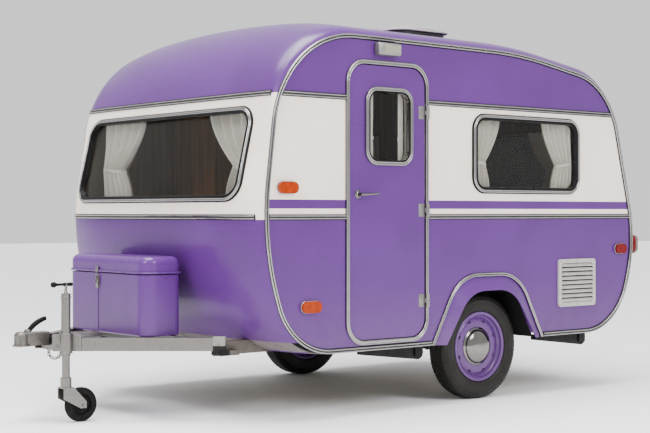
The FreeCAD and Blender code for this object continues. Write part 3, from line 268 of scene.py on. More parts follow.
@dataclass(frozen=True)
class PanelEnamel(Finish):
    """Gloss enamel, cream between stated heights, with a breath of road dust near the ground."""

    cream: tuple[str, str] = ("#eee2d9", "#e7dad0")
    bands: tuple[Pair, ...] = ()
    dust: str = "#8d8279"
    dust_mm: float = 60.0
    dust_span: Pair = (0.75, 0.3)
    dust_share: float = 0.16
    detail: float = 1.0

    def tone(self, tree: Tree, place: Socket) -> Socket:
        """Give purple, or cream within the bands, dusted at the foot.

        Args:
            tree: The material's node tree.
            place: The coordinates of the pattern.

        Returns:
            The colour.
        """
        colour = super().tone(tree, place)
        height = add_node(tree, "ShaderNodeSeparateXYZ", {0: place}).outputs["Z"]
        cream = self.mottle(tree, place, *self.cream)
        for low, high in self.bands:
            above = combine(tree, height, low, "GREATER_THAN")
            below = combine(tree, height, high, "LESS_THAN")
            colour = blend(tree, combine(tree, above, below, "MULTIPLY"), colour, cream)
        fade = spread(tree, height, self.dust_span, (0.0, self.dust_share))
        specks = noise(tree, place, self.dust_mm, 8.0)
        return blend(tree, combine(tree, fade, specks, "MULTIPLY"), colour, linear(self.dust))


@dataclass(frozen=True)
class ZincCoat(Finish):
    """Hot-dip zinc, whose crystals show as flat grey flakes."""

    def tone(self, tree: Tree, place: Socket) -> Socket:
        """Give each crystal its own grey.

        Args:
            tree: The material's node tree.
            place: The coordinates of the pattern.

        Returns:
            The colour.
        """
        cells = add_node(tree, "ShaderNodeTexVoronoi", {"Vector": place, "Scale": 1 / (self.patch_mm * MM)})
        shades = add_node(tree, "ShaderNodeSeparateColor", {0: cells.outputs["Color"]})
        return blend(tree, shades.outputs[0], linear(self.light), linear(self.dark))


@dataclass(frozen=True)
class ChassisPaint(Finish):
    """Black chassis paint, with grey underseal ahead of the wheels and zinc spray on the bracket tops.

    The drawbar's brackets lie ahead of spray_start, and the underseal runs from
    there to where it thins out to black.
    """

    spray: tuple[str, str] = ("#645c56", "#534c47")
    spray_start: float = -1.166
    spray_end: Pair = (-0.90, -0.66)
    zinc: tuple[str, str] = ("#89857f", "#7d7974")
    zinc_from: float = 0.421

    def tone(self, tree: Tree, place: Socket) -> Socket:
        """Give black, grey underseal or zinc grey, each on its own stretch.

        Args:
            tree: The material's node tree.
            place: The coordinates of the pattern.

        Returns:
            The colour.
        """
        parts = add_node(tree, "ShaderNodeSeparateXYZ", {0: place})
        along = parts.outputs["Y"]
        thin = spread(tree, along, self.spray_end, (1.0, 0.0))
        behind = combine(tree, along, self.spray_start, "GREATER_THAN")
        sprayed = self.mottle(tree, place, *self.spray)
        colour = blend(tree, combine(tree, thin, behind, "MULTIPLY"), super().tone(tree, place), sprayed)
        above = combine(tree, parts.outputs["Z"], self.zinc_from, "GREATER_THAN")
        ahead = combine(tree, along, self.spray_start, "LESS_THAN")
        tops = combine(tree, above, ahead, "MULTIPLY")
        return blend(tree, tops, colour, self.mottle(tree, place, *self.zinc))


@dataclass(frozen=True)
class BrushedTrim(Finish):
    """Extruded aluminium, whose drawn lines run along the body."""

    def relief(self, tree: Tree, place: Socket) -> Socket:
        """Give fine lines that run along Y."""
        drawn = add_node(tree, "ShaderNodeMapping", {"Vector": place, "Scale": (1.0, 0.03, 1.0)})
        return noise(tree, drawn.outputs[0], self.grain_mm, 2.0)


@dataclass(frozen=True)
class RibbedLens(Finish):
    """Moulded acrylic lens with upright prism ribs inside it."""

    def relief(self, tree: Tree, place: Socket) -> Socket:
        """Give upright ribs one grain size apart along Y."""
        return add_node(tree, "ShaderNodeTexWave", {"Vector": place, "Scale": self.wave_scale},
                        bands_direction="Y").outputs[1]


@dataclass(frozen=True)
class SlicedVeneer(Finish):
    """Varnished veneer with upright grain."""

    grain_span: Pair = (0.35, 0.65)
    grain_stretch: Point = (1.0, 1.0, 0.06)

    def tone(self, tree: Tree, place: Socket) -> Socket:
        """Give the grain's light and dark lines.

        Args:
            tree: The material's node tree.
            place: The coordinates of the pattern.

        Returns:
            The colour.
        """
        tall = add_node(tree, "ShaderNodeMapping", {"Vector": place, "Scale": self.grain_stretch})
        lines = noise(tree, tall.outputs[0], self.patch_mm, 8.0, distortion=0.6)
        return blend(tree, spread(tree, lines, self.grain_span), linear(self.light), linear(self.dark))


@dataclass(frozen=True)
class PlainWeave(Finish):
    """Plain-woven cotton, with threads drawn a little coarser than real ones so that they show."""

    def relief(self, tree: Tree, place: Socket) -> Socket:
        """Cross two sets of threads on the cloth's own coordinates.

        Args:
            tree: The material's node tree.
            place: The coordinates of the pattern.

        Returns:
            The threads' height.
        """
        threads = []
        for direction in ("X", "Y"):
            wave = add_node(tree, "ShaderNodeTexWave", {"Vector": place, "Scale": self.wave_scale},
                            bands_direction=direction)
            threads.append(wave.outputs[1])
        return combine(tree, *threads, "MULTIPLY")


PURPLE = ("#512670", "#4c2369")
SIDE_BANDS = ((1.121, 1.182), (1.232, 1.815))
END_BANDS = ((1.121, 1.815),)


class Paint(Enum):
    """Every finish on the caravan, by what it is."""

    # Sprayed gloss enamel: clear highlights with a faint orange peel.
    SIDE_ENAMEL = PanelEnamel("side_panel_enamel", *PURPLE, 400, 16, 0.004, (0.25, 0.31), coat=0.08,
                              specular=0.3, bands=SIDE_BANDS)
    END_ENAMEL = PanelEnamel("end_panel_enamel", *PURPLE, 400, 16, 0.004, (0.25, 0.31), coat=0.06,
                             specular=0.22, bands=END_BANDS)
    PURPLE_ENAMEL = PanelEnamel("purple_enamel", *PURPLE, 400, 16, 0.004, (0.25, 0.31), coat=0.12,
                                specular=0.3)
    # Extruded and polished aluminium: bright, with drawn lines that blur highlights lengthways.
    TRIM = BrushedTrim("polished_aluminium", "#a09e9e", "#989696", 90, 1.5, 0.004, (0.16, 0.26), metallic=1.0)
    # The grooves of the extrusions: the same metal, painted dark as the shade that falls between the ribs.
    CHANNEL = BrushedTrim("soiled_aluminium_groove", "#3c3a3c", "#2e2c2d", 60, 1.5, 0.03, (0.4, 0.55),
                          metallic=0.85)
    # Pressed aluminium left dull, as on the hinges, the lamp bezels and the porch lamp's housing.
    PRESSED = Finish("pressed_aluminium", "#8f8d8c", "#7a7878", 70, 3, 0.03, (0.34, 0.48), metallic=0.85)
    # Stoved grey paint, as on the vent grille and the roof vent's lid.
    LOUVRE = Finish("stoved_grey_louvre", "#aeaaa8", "#a19d9b", 60, 3, 0.02, (0.34, 0.46))
    # Chrome plate: a mirror with slight haze from cleaning.
    CHROME = Finish("chrome_plate", "#7d7a77", "#72706d", 60, 6, 0.01, (0.06, 0.14), metallic=1.0)
    # Zinc on steel: faint grey flakes with soft highlights.
    ZINC = ZincCoat("hot_dip_zinc", "#7a7774", "#716d69", 7, 4, 0.012, (0.28, 0.4), metallic=0.9)
    # Cast metal of the coupling and the latch: a coarser skin than the tubes have.
    CAST_ZINC = Finish("cast_zinc_alloy", "#75716d", "#625e5a", 25, 5, 0.1, (0.36, 0.52), metallic=0.85)
    # Brushed-on black chassis paint: low gloss with dust.
    CHASSIS = ChassisPaint("chassis_black", "#12100f", "#0b0a0a", 80, 5, 0.1, (0.55, 0.75), specular=0.25)
    BRACKET = Finish("black_bracket_paint", "#12100f", "#0a0909", 50, 4, 0.08, (0.5, 0.7), specular=0.25)
    UNDERSEAL = Finish("grey_underseal", "#6f6766", "#5d5555", 60, 6, 0.3, (0.6, 0.75))
    # Moulded tyre rubber: dark with a grey bloom.
    TYRE = Finish("tyre_rubber", "#171513", "#100e0c", 90, 2, 0.05, (0.5, 0.66), specular=0.25)
    RUBBER = Finish("moulded_rubber", "#100f0e", "#0a0909", 30, 2, 0.04, (0.5, 0.65), specular=0.12)
    # Ribbed acrylic lenses.
    AMBER = RibbedLens("amber_acrylic", "#9c3200", "#862800", 30, 4, 0.3, (0.1, 0.18), specular=0.15)
    RED = RibbedLens("red_acrylic", "#6e0002", "#540001", 30, 4, 0.3, (0.1, 0.18), specular=0.15)
    OPAL = RibbedLens("opal_acrylic", "#8f897f", "#837c72", 40, 6, 0.4, (0.2, 0.3), specular=0.3)
    # Acrylic window sheet: a clear pane with a little smoke in it.
    PANE = Finish("clear_acrylic_pane", "#1a1a17", "#141412", 200, 400, 0.001, (0.02, 0.04), alpha=0.24)
    # The same sheet darkened as painted shade of the dark cabin, for the far windows that let no light
    # through in the photograph.
    SMOKED = Finish("smoked_acrylic_pane", "#1f1d19", "#181613", 200, 400, 0.001, (0.03, 0.06), alpha=0.86)
    # Cotton voile.
    COTTON = PlainWeave("white_cotton_voile", "#fbf5ea", "#f3ecdf", 60, 2.5, 0.3, (0.8, 0.95), sheen=0.05,
                        subsurface=0.08, coordinates=Coordinates.CLOTH)
    # Varnished plywood of the cabinets, and the plain board behind the walls.
    VENEER = SlicedVeneer("varnished_veneer", "#9a6a38", "#6b4522", 30, 2, 0.05, (0.3, 0.45), coat=0.2)
    LINING = SlicedVeneer("lining_board", "#94866f", "#7b6e5a", 40, 2, 0.04, (0.5, 0.65))

    def material(self) -> bpy.types.Material:
        """Give the finish's one material, made on first use."""
        made = bpy.data.materials.get(self.value.name + FINISH_END)
        return made or self.value.build()


def dress(paint: Paint, *nodes: str) -> None:
    """Give CAD nodes a finish.

    Args:
        paint: The finish.
        nodes: The nodes' names.
    """
    for name in nodes:
        mesh = frame["nodes"][name].data
        mesh.materials.clear()
        mesh.materials.append(paint.material())


def new_piece(name: str, mesh: bpy.types.Mesh) -> Piece:
    """Make a mesh into an object of the scene.

    Args:
        name: The object's name.
        mesh: Its mesh.

    Returns:
        The object.
    """
    piece = bpy.data.objects.new(name, mesh)
    bpy.context.scene.collection.objects.link(piece)
    return piece


def finished(name: str, mesh: bpy.types.Mesh, paint: Paint, body: str, degrees: float) -> Piece:
    """Make a mesh into a piece with its finish and shading, and let it ride on a body.

    Args:
        name: The piece's name.
        mesh: Its mesh.
        paint: Its finish.
        body: The moving body that it rides on.
        degrees: Edges sharper than this stay sharp.

    Returns:
        The piece.
    """
    mesh.materials.clear()
    mesh.materials.append(paint.material())
    mesh.shade_smooth()
    mesh.set_sharp_from_angle(angle=math.radians(degrees))
    piece = new_piece(name, mesh)
    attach(piece, body)
    return piece


def shaped(name: str, points: list, faces: list, paint: Paint, body: str,
           degrees: float = 35.0) -> Piece:
    """Make a closed piece from points and faces.

    Args:
        name: The piece's name.
        points: Its points.
        faces: Its faces as tuples of point numbers.
        paint: Its finish.
        body: The moving body that it rides on.
        degrees: Edges sharper than this stay sharp.

    Returns:
        The piece, with merged doubles and faces outwards.
    """
    mesh = bpy.data.meshes.new(name)
    mesh.from_pydata([tuple(point) for point in points], [], faces)
    work = bmesh.new()
    work.from_mesh(mesh)
    bmesh.ops.remove_doubles(work, verts=work.verts, dist=MERGE_GAP)
    bmesh.ops.dissolve_degenerate(work, edges=work.edges, dist=NO_LENGTH)
    bmesh.ops.recalc_face_normals(work, faces=work.faces)
    work.to_mesh(mesh)
    work.free()
    return finished(name, mesh, paint, body, degrees)


def revolved(name: str, profile: list[Pair], centre: Vector, axis: Vector, steps: int, paint: Paint,
             body: str, degrees: float = 35.0) -> Piece:
    """Turn a closed outline about an axis.

    Args:
        name: The piece's name.
        profile: The outline, as places along the axis and out from it.
        centre: The point of the axis from which the places are taken.
        axis: The way that the axis points.
        steps: How many steps the full turn has.
        paint: The piece's finish.
        body: The moving body that it rides on.
        degrees: Edges sharper than this stay sharp.

    Returns:
        The piece.
    """
    aside = axis.orthogonal().normalized()
    upward = axis.cross(aside)
    rings = []
    for step in range(steps):
        angle = 2 * math.pi * step / steps
        outward = aside * math.cos(angle) + upward * math.sin(angle)
        rings.append([centre + axis * along + outward * radius for along, radius in profile])
    points, faces = ring_mesh(rings)
    return shaped(name, points, faces, paint, body, degrees)


def ring_mesh(rings: list[list[Vector]]) -> tuple[list[Vector], list[tuple[int, ...]]]:
    """Join closed outlines that stand round a full turn, each to the next and the last to the first.

    Args:
        rings: The outlines, all with as many points.

    Returns:
        All their points and the faces between them.
    """
    count = len(rings[0])
    faces = []
    for step in range(len(rings)):
        here = step * count
        following = (step + 1) % len(rings) * count
        for index in range(count):
            after = (index + 1) % count
            faces.append((here + index, here + after, following + after, following + index))
    return [point for ring in rings for point in ring], faces


def eased(profile: list[Pair], rounds: int) -> list[Pair]:
    """Round a closed outline by cutting its corners again and again.

    Args:
        profile: The outline.
        rounds: How often every corner is cut at a quarter of its sides.

    Returns:
        The rounded outline.
    """
    for _ in range(rounds):
        cut = []
        for index, here in enumerate(profile):
            after = profile[(index + 1) % len(profile)]
            for share in (0.25, 0.75):
                cut.append((here[0] + (after[0] - here[0]) * share, here[1] + (after[1] - here[1]) * share))
        profile = cut
    return profile


def tube(name: str, path: list[Vector], radii: list[float], paint: Paint, body: str,
         sides: int = 20) -> Piece:
    """Make a closed round bar along a path.

    Args:
        name: The piece's name.
        path: The points of its middle.
        radii: Its radius at each of them.
        paint: Its finish.
        body: The moving body that it rides on.
        sides: How many sides its round has.

    Returns:
        The bar.
    """
    points = []
    faces = []
    side = (path[1] - path[0]).orthogonal().normalized()
    for index, place in enumerate(path):
        ahead = path[min(index + 1, len(path) - 1)] - path[max(index - 1, 0)]
        ahead.normalize()
        side = (side - ahead * side.dot(ahead)).normalized()
        over = ahead.cross(side)
        for turn in range(sides):
            angle = 2 * math.pi * turn / sides
            points.append(place + (side * math.cos(angle) + over * math.sin(angle)) * radii[index])
        if index:
            low = (index - 1) * sides
            for turn in range(sides):
                after = (turn + 1) % sides
                faces.append((low + turn, low + after, low + sides + after, low + sides + turn))
    faces.append(tuple(range(sides)))
    faces.append(tuple(range(len(points) - sides, len(points))))
    return shaped(name, points, faces, paint, body, degrees=50.0)


def bevelled(name: str, low: Point, high: Point, bevel: float, paint: Paint, body: str) -> Piece:
    """Make a block with rounded edges between two corners.

    Args:
        name: The piece's name.
        low: Its low corner.
        high: Its high corner.
        bevel: The width of its rounded edges.
        paint: Its finish.
        body: The moving body that it rides on.

    Returns:
        The block.
    """
    work = bmesh.new()
    bmesh.ops.create_cube(work, size=1.0)
    size = Vector(high) - Vector(low)
    bmesh.ops.scale(work, vec=size, verts=work.verts)
    bmesh.ops.bevel(work, geom=list(work.edges), offset=bevel, segments=3, profile=0.5, affect="EDGES")
    bmesh.ops.translate(work, vec=(Vector(high) + Vector(low)) / 2, verts=work.verts)
    mesh = bpy.data.meshes.new(name)
    work.to_mesh(mesh)
    work.free()
    return finished(name, mesh, paint, body, 40.0)


@dataclass(frozen=True)
class Mark:
    """A place for a repeated small part, the way it faces and the way it points."""

    place: Vector
    facing: Vector
    along: Vector = Vector((0.0, 0.0, 1.0))


def new_tree(name: str, sockets: dict[str, str]) -> tuple[Tree, Node, Node]:
    """Start a geometry tree with a geometry input, named inputs, a finish and a geometry output.

    Args:
        name: The tree's name.
        sockets: The kind of each named input.

    Returns:
        The tree, and its input and output nodes.
    """
    tree = bpy.data.node_groups.new(name, "GeometryNodeTree")
    kinds = {"Geometry": "NodeSocketGeometry"} | sockets | {"Finish": "NodeSocketMaterial"}
    for title, kind in kinds.items():
        tree.interface.new_socket(title, in_out="INPUT", socket_type=kind)
    tree.interface.new_socket("Geometry", in_out="OUTPUT", socket_type="NodeSocketGeometry")
    return tree, tree.nodes.new("NodeGroupInput"), tree.nodes.new("NodeGroupOutput")


def end_tree(tree: Tree, given: Node, result: Node, shape: Socket) -> Tree:
    """End a geometry tree: instances made real, and given their finish.

    Args:
        tree: The tree.
        given: Its input node.
        result: Its output node.
        shape: The shape so far.

    Returns:
        The tree.
    """
    real = add_node(tree, "GeometryNodeRealizeInstances", {0: shape})
    done = add_node(tree, "GeometryNodeSetMaterial", {
        "Geometry": real.outputs[0], "Material": given.outputs["Finish"]})
    tree.links.new(done.outputs[0], result.inputs[0])
    return tree


def bead_tree() -> Tree:
    """Make the tree that sweeps a round bead along drawn lines.

    Returns:
        The tree.
    """
    sockets = {"Radius": "NodeSocketFloat", "Sides": "NodeSocketInt"}
    tree, given, result = new_tree("bead_along_lines", sockets)
    line = add_node(tree, "GeometryNodeMeshToCurve", {0: given.outputs["Geometry"]})
    ring = add_node(tree, "GeometryNodeCurvePrimitiveCircle", {
        "Resolution": given.outputs["Sides"], "Radius": given.outputs["Radius"]})
    swept = add_node(tree, "GeometryNodeCurveToMesh", {
        0: line.outputs[0], 1: ring.outputs[0], "Fill Caps": True})
    return end_tree(tree, given, result, swept.outputs[0])


def scatter_tree(name: str, kind: str, inputs: dict[str, str]) -> Tree:
    """Make the tree that sets one small part on every marked place.

    Args:
        name: The tree's name.
        kind: The mesh primitive node that makes the small part.
        inputs: The tree's input for each of that node's inputs.

    Returns:
        The tree, whose Size input scales the part along, across and outwards.
    """
    whole = ("Sides", "Rings")
    sockets = {title: "NodeSocketInt" if title in whole else "NodeSocketFloat" for title in inputs.values()}
    tree, given, result = new_tree(name, sockets | {"Size": "NodeSocketVector"})
    part = add_node(tree, kind, {key: given.outputs[title] for key, title in inputs.items()})
    sized = add_node(tree, "GeometryNodeTransform", {0: part.outputs[0], "Scale": given.outputs["Size"]})
    facing = add_node(tree, "GeometryNodeInputNamedAttribute", {"Name": "facing"}, data_type="FLOAT_VECTOR")
    along = add_node(tree, "GeometryNodeInputNamedAttribute", {"Name": "along"}, data_type="FLOAT_VECTOR")
    turned = add_node(tree, "FunctionNodeAxesToRotation", {0: facing.outputs[0], 1: along.outputs[0]},
                      primary_axis="Z", secondary_axis="X")
    set_down = add_node(tree, "GeometryNodeInstanceOnPoints", {
        "Points": given.outputs["Geometry"], "Instance": sized.outputs[0], "Rotation": turned.outputs[0]})
    return end_tree(tree, given, result, set_down.outputs[0])


def run_tree(name: str, drawn: bpy.types.Mesh, tree: Tree, values: dict, paint: Paint,
             body: str) -> Piece:
    """Run a geometry tree on a drawn mesh and keep the result as a plain piece.

    Args:
        name: The piece's name.
        drawn: The mesh of lines or marks.
        tree: The geometry tree.
        values: The tree's inputs by name.
        paint: The piece's finish.
        body: The moving body that it rides on.

    Returns:
        The piece.
    """
    source = new_piece(name + "_source", drawn)
    modifier = source.modifiers.new("shape", "NODES")
    modifier.node_group = tree
    given = values | {"Finish": paint.material()}
    for item in tree.interface.items_tree:
        if item.item_type == "SOCKET" and item.in_out == "INPUT" and item.name in given:
            modifier[item.identifier] = given[item.name]
    depsgraph = bpy.context.evaluated_depsgraph_get()
    mesh = bpy.data.meshes.new_from_object(source.evaluated_get(depsgraph))
    mesh.name = name
    bpy.data.objects.remove(source)
    return finished(name, mesh, paint, body, 45.0)


BEAD = bead_tree()
BOLT = scatter_tree("bolt_on_marks", "GeometryNodeMeshCylinder", {
    "Vertices": "Sides", "Radius": "Radius", "Depth": "Height"})
DOME = scatter_tree("dome_on_marks", "GeometryNodeMeshUVSphere", {
    "Segments": "Sides", "Rings": "Rings", "Radius": "Radius"})


def beads(name: str, lines: list[Line], radius: float, paint: Paint, body: str = "root",
          sides: int = 12) -> Piece:
    """Sweep a round bead along lines.

    Args:
        name: The piece's name.
        lines: The lines.
        radius: The bead's radius.
        paint: Its finish.
        body: The moving body that it rides on.
        sides: How many sides its round has.

    Returns:
        The beads as one piece.
    """
    points = []
    edges = []
    for line, closed in lines:
        first = len(points)
        points.extend(tuple(point) for point in line)
        for index in range(len(line) - 1):
            edges.append((first + index, first + index + 1))
        if closed:
            edges.append((len(points) - 1, first))
    drawn = bpy.data.meshes.new(name + "_lines")
    drawn.from_pydata(points, edges, [])
    return run_tree(name, drawn, BEAD, {"Radius": radius, "Sides": sides}, paint, body)


def marked(name: str, marks: list[Mark]) -> bpy.types.Mesh:
    """Draw marks as loose points that carry the way they face and point.

    Args:
        name: The name of the piece that will stand on them.
        marks: The marks.

    Returns:
        The mesh of points.
    """
    drawn = bpy.data.meshes.new(name + "_marks")
    drawn.from_pydata([tuple(mark.place) for mark in marks], [], [])
    for title in ("facing", "along"):
        attribute = drawn.attributes.new(title, "FLOAT_VECTOR", "POINT")
        for index, mark in enumerate(marks):
            attribute.data[index].vector = getattr(mark, title)
    return drawn


def bolts(name: str, marks: list[Mark], radius: float, height: float, paint: Paint,
          body: str = "root") -> Piece:
    """Set a hexagon head, which stands out by the height, on every mark."""
    values = {"Sides": 6, "Radius": radius, "Height": 2 * height, "Size": (1.0, 1.0, 1.0)}
    return run_tree(name, marked(name, marks), BOLT, values, paint, body)


def domes(name: str, marks: list[Mark], radius: float, size: Point, paint: Paint, body: str = "root",
          sides: int = 12) -> Piece:
    """Set a ball on every mark, flattened along, across and outwards by the size's shares."""
    values = {"Sides": sides, "Rings": sides // 2, "Radius": radius, "Size": size}
    return run_tree(name, marked(name, marks), DOME, values, paint, body)


def filleted(corners: list[Point], steps: int) -> list[Pair]:
    """Join corners by lines and arcs.

    Args:
        corners: Each corner's two places and its radius.
        steps: How many steps each arc has.

    Returns:
        Points along the outline.
    """
    points = []
    count = len(corners)
    for index, (u, v, radius) in enumerate(corners):
        here = Vector((u, v))
        back = (Vector(corners[index - 1][:2]) - here).normalized()
        ahead = (Vector(corners[(index + 1) % count][:2]) - here).normalized()
        half = math.acos(max(-1.0, min(1.0, back.dot(ahead)))) / 2
        centre = here + (back + ahead).normalized() * radius / math.sin(half)
        start = here + back * radius / math.tan(half) - centre
        end = here + ahead * radius / math.tan(half) - centre
        turn = math.atan2(start.x * end.y - start.y * end.x, start.dot(end))
        for step in range(steps + 1):
            angle = turn * step / steps
            spoke = (start.x * math.cos(angle) - start.y * math.sin(angle),
                     start.x * math.sin(angle) + start.y * math.cos(angle))
            points.append((centre.x + spoke[0], centre.y + spoke[1]))
    return points


def round_loop(u_pair: Pair, v_pair: Pair, radius: float, grow: float = 0.0, steps: int = 10) -> list[Pair]:
    """Draw a rectangle with rounded corners.

    Args:
        u_pair: Its ends one way.
        v_pair: Its ends the other way.
        radius: The radius of its corners.
        grow: How much it is then grown on all sides.
        steps: How many steps each corner has.

    Returns:
        Points round it.
    """
    u0, u1 = u_pair[0] - grow, u_pair[1] + grow
    v0, v1 = v_pair[0] - grow, v_pair[1] + grow
    corner = radius + grow
    return filleted([(u0, v0, corner), (u1, v0, corner), (u1, v1, corner), (u0, v1, corner)], steps)


def side_ring(x: float, span: Pair, rise: Pair, radius: float, grow: float = 0.0) -> Line:
    """Draw an upright rectangle with rounded corners, grown on all sides, that faces sideways."""
    return [(x, y, z) for y, z in round_loop(span, rise, radius, grow)], True


HALF_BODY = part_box("side_wall_left")[1].x
AXLE_Y = (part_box("tyre_left")[0].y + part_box("tyre_left")[1].y) / 2
SIDES = (("left", 1), ("right", -1))


@dataclass(frozen=True)
class BodyForm:
    """The rule of the body's outline: filleted corners that bow at the nose and crown at the roof.

    Each row of corners has its place along and up, its radius, and how far it
    follows the bow and the crown, all as shares of the sizes above them.
    """

    length: float = 3.214
    height: float = 1.819
    base: float = 0.365
    axle_to_nose: float = 1.770
    nose_bow: float = 0.158
    roof_crown: float = 0.119
    bow_power: int = 4
    crown_power: int = 2
    nose_corner: int = 1
    tightening: float = 0.35
    corners: tuple[tuple[float, ...], ...] = (
        (0.063, 0.000, 0.220, -0.38, 0.0),
        (0.000, 0.351, 0.844, -1.00, 0.0),
        (0.044, 1.000, 0.327, 0.42, 1.0),
        (0.637, 0.993, 1.870, 0.00, 1.0),
        (0.913, 0.913, 0.275, 0.50, 1.0),
        (1.000, 0.321, 0.522, 0.50, 0.0),
        (0.933, 0.000, 0.245, 0.25, 0.0),
    )

    def section(self, x: float, inset: float = 0.0, steps: int = 16) -> list[Pair]:
        """Draw the body's outline at one station.

        Args:
            x: The station, across from the middle.
            inset: How far the outline is moved inwards.
            steps: How many steps each corner has.

        Returns:
            The places along and up of its points.
        """
        across = min(abs(x) / HALF_BODY, 1.0)
        bow = math.sqrt(1 - across ** self.bow_power)
        crown = math.sqrt(1 - across ** self.crown_power)
        bent = []
        for index, (along, up, fillet, bow_share, crown_share) in enumerate(self.corners):
            y = AXLE_Y + along * self.length - self.axle_to_nose + bow_share * self.nose_bow * bow
            z = self.base + up * self.height + crown_share * self.roof_crown * crown
            radius = fillet * self.height * (1 - self.tightening * bow if index == self.nose_corner else 1)
            bent.append((y, z, radius))
        outline = filleted(bent, steps)
        moved = []
        count = len(outline)
        for index, (y, z) in enumerate(outline):
            y0, z0 = outline[index - 1]
            y1, z1 = outline[(index + 1) % count]
            run = math.hypot(y1 - y0, z1 - z0)
            moved.append((y + (z1 - z0) / run * inset, z - (y1 - y0) / run * inset))
        return moved

    def reach(self, x: float, z: float, inset: float = 0.0) -> Pair:
        """Give the Y of the nose and of the tail.

        Args:
            x: The station, across from the middle.
            z: The height.
            inset: How far the outline is moved inwards.

        Returns:
            The nose's place and the tail's.
        """
        outline = self.section(x, inset)
        crossings = []
        for index, (y1, z1) in enumerate(outline):
            y0, z0 = outline[index - 1]
            if (z0 - z) * (z1 - z) < 0:
                crossings.append(y0 + (y1 - y0) * (z - z0) / (z1 - z0))
        return min(crossings), max(crossings)


FORM = BodyForm()


def face_inwards(paint: Paint, *nodes: str, lean: float = 0.35) -> None:
    """Give the faces of CAD nodes that look into the cabin a second finish.

    Args:
        paint: The finish of the inner faces.
        nodes: The nodes, already dressed for their outside.
        lean: The least cosine between a face's normal and the way to the cabin's middle.
    """
    middle = Vector((0.0, AXLE_Y, FORM.base + FORM.height / 2))
    for name in nodes:
        mesh = frame["nodes"][name].data
        mesh.materials.append(paint.material())
        for face in mesh.polygons:
            inside = face.normal.dot((middle - face.center).normalized()) > lean
            face.material_index = 1 if inside else 0


@dataclass
class BodyPanels:
    """The painted panels with their lined insides, and the rolled lips along the feet of the end panels."""

    lip_rise: float = 0.014
    lip_radius: float = 0.006
    lip_end: float = 0.034
    lip_steps: int = 40

    def build(self) -> None:
        """Paint the panels and roll their feet."""
        dress(Paint.SIDE_ENAMEL, "side_wall_left", "side_wall_right")
        dress(Paint.END_ENAMEL, "front_panel", "rear_panel")
        dress(Paint.PURPLE_ENAMEL, "roof_panel", "arch_flares")
        face_inwards(Paint.LINING, "side_wall_left", "side_wall_right", "front_panel", "rear_panel",
                     "roof_panel")
        dress(Paint.UNDERSEAL, "front_apron")
        dress(Paint.LINING, "floor_pan")
        dress(Paint.BRACKET, "wheel_boxes")
        z = FORM.base + self.lip_rise
        lips = []
        for end, inward in ((0, 1), (1, -1)):
            line = []
            for step in range(self.lip_steps + 1):
                x = (HALF_BODY - self.lip_end) * (2 * step / self.lip_steps - 1)
                line.append((x, FORM.reach(x, z)[end] + inward * self.lip_radius / 2, z))
            lips.append((line, False))
        beads("panel_foot_lips", lips, self.lip_radius, Paint.PURPLE_ENAMEL)


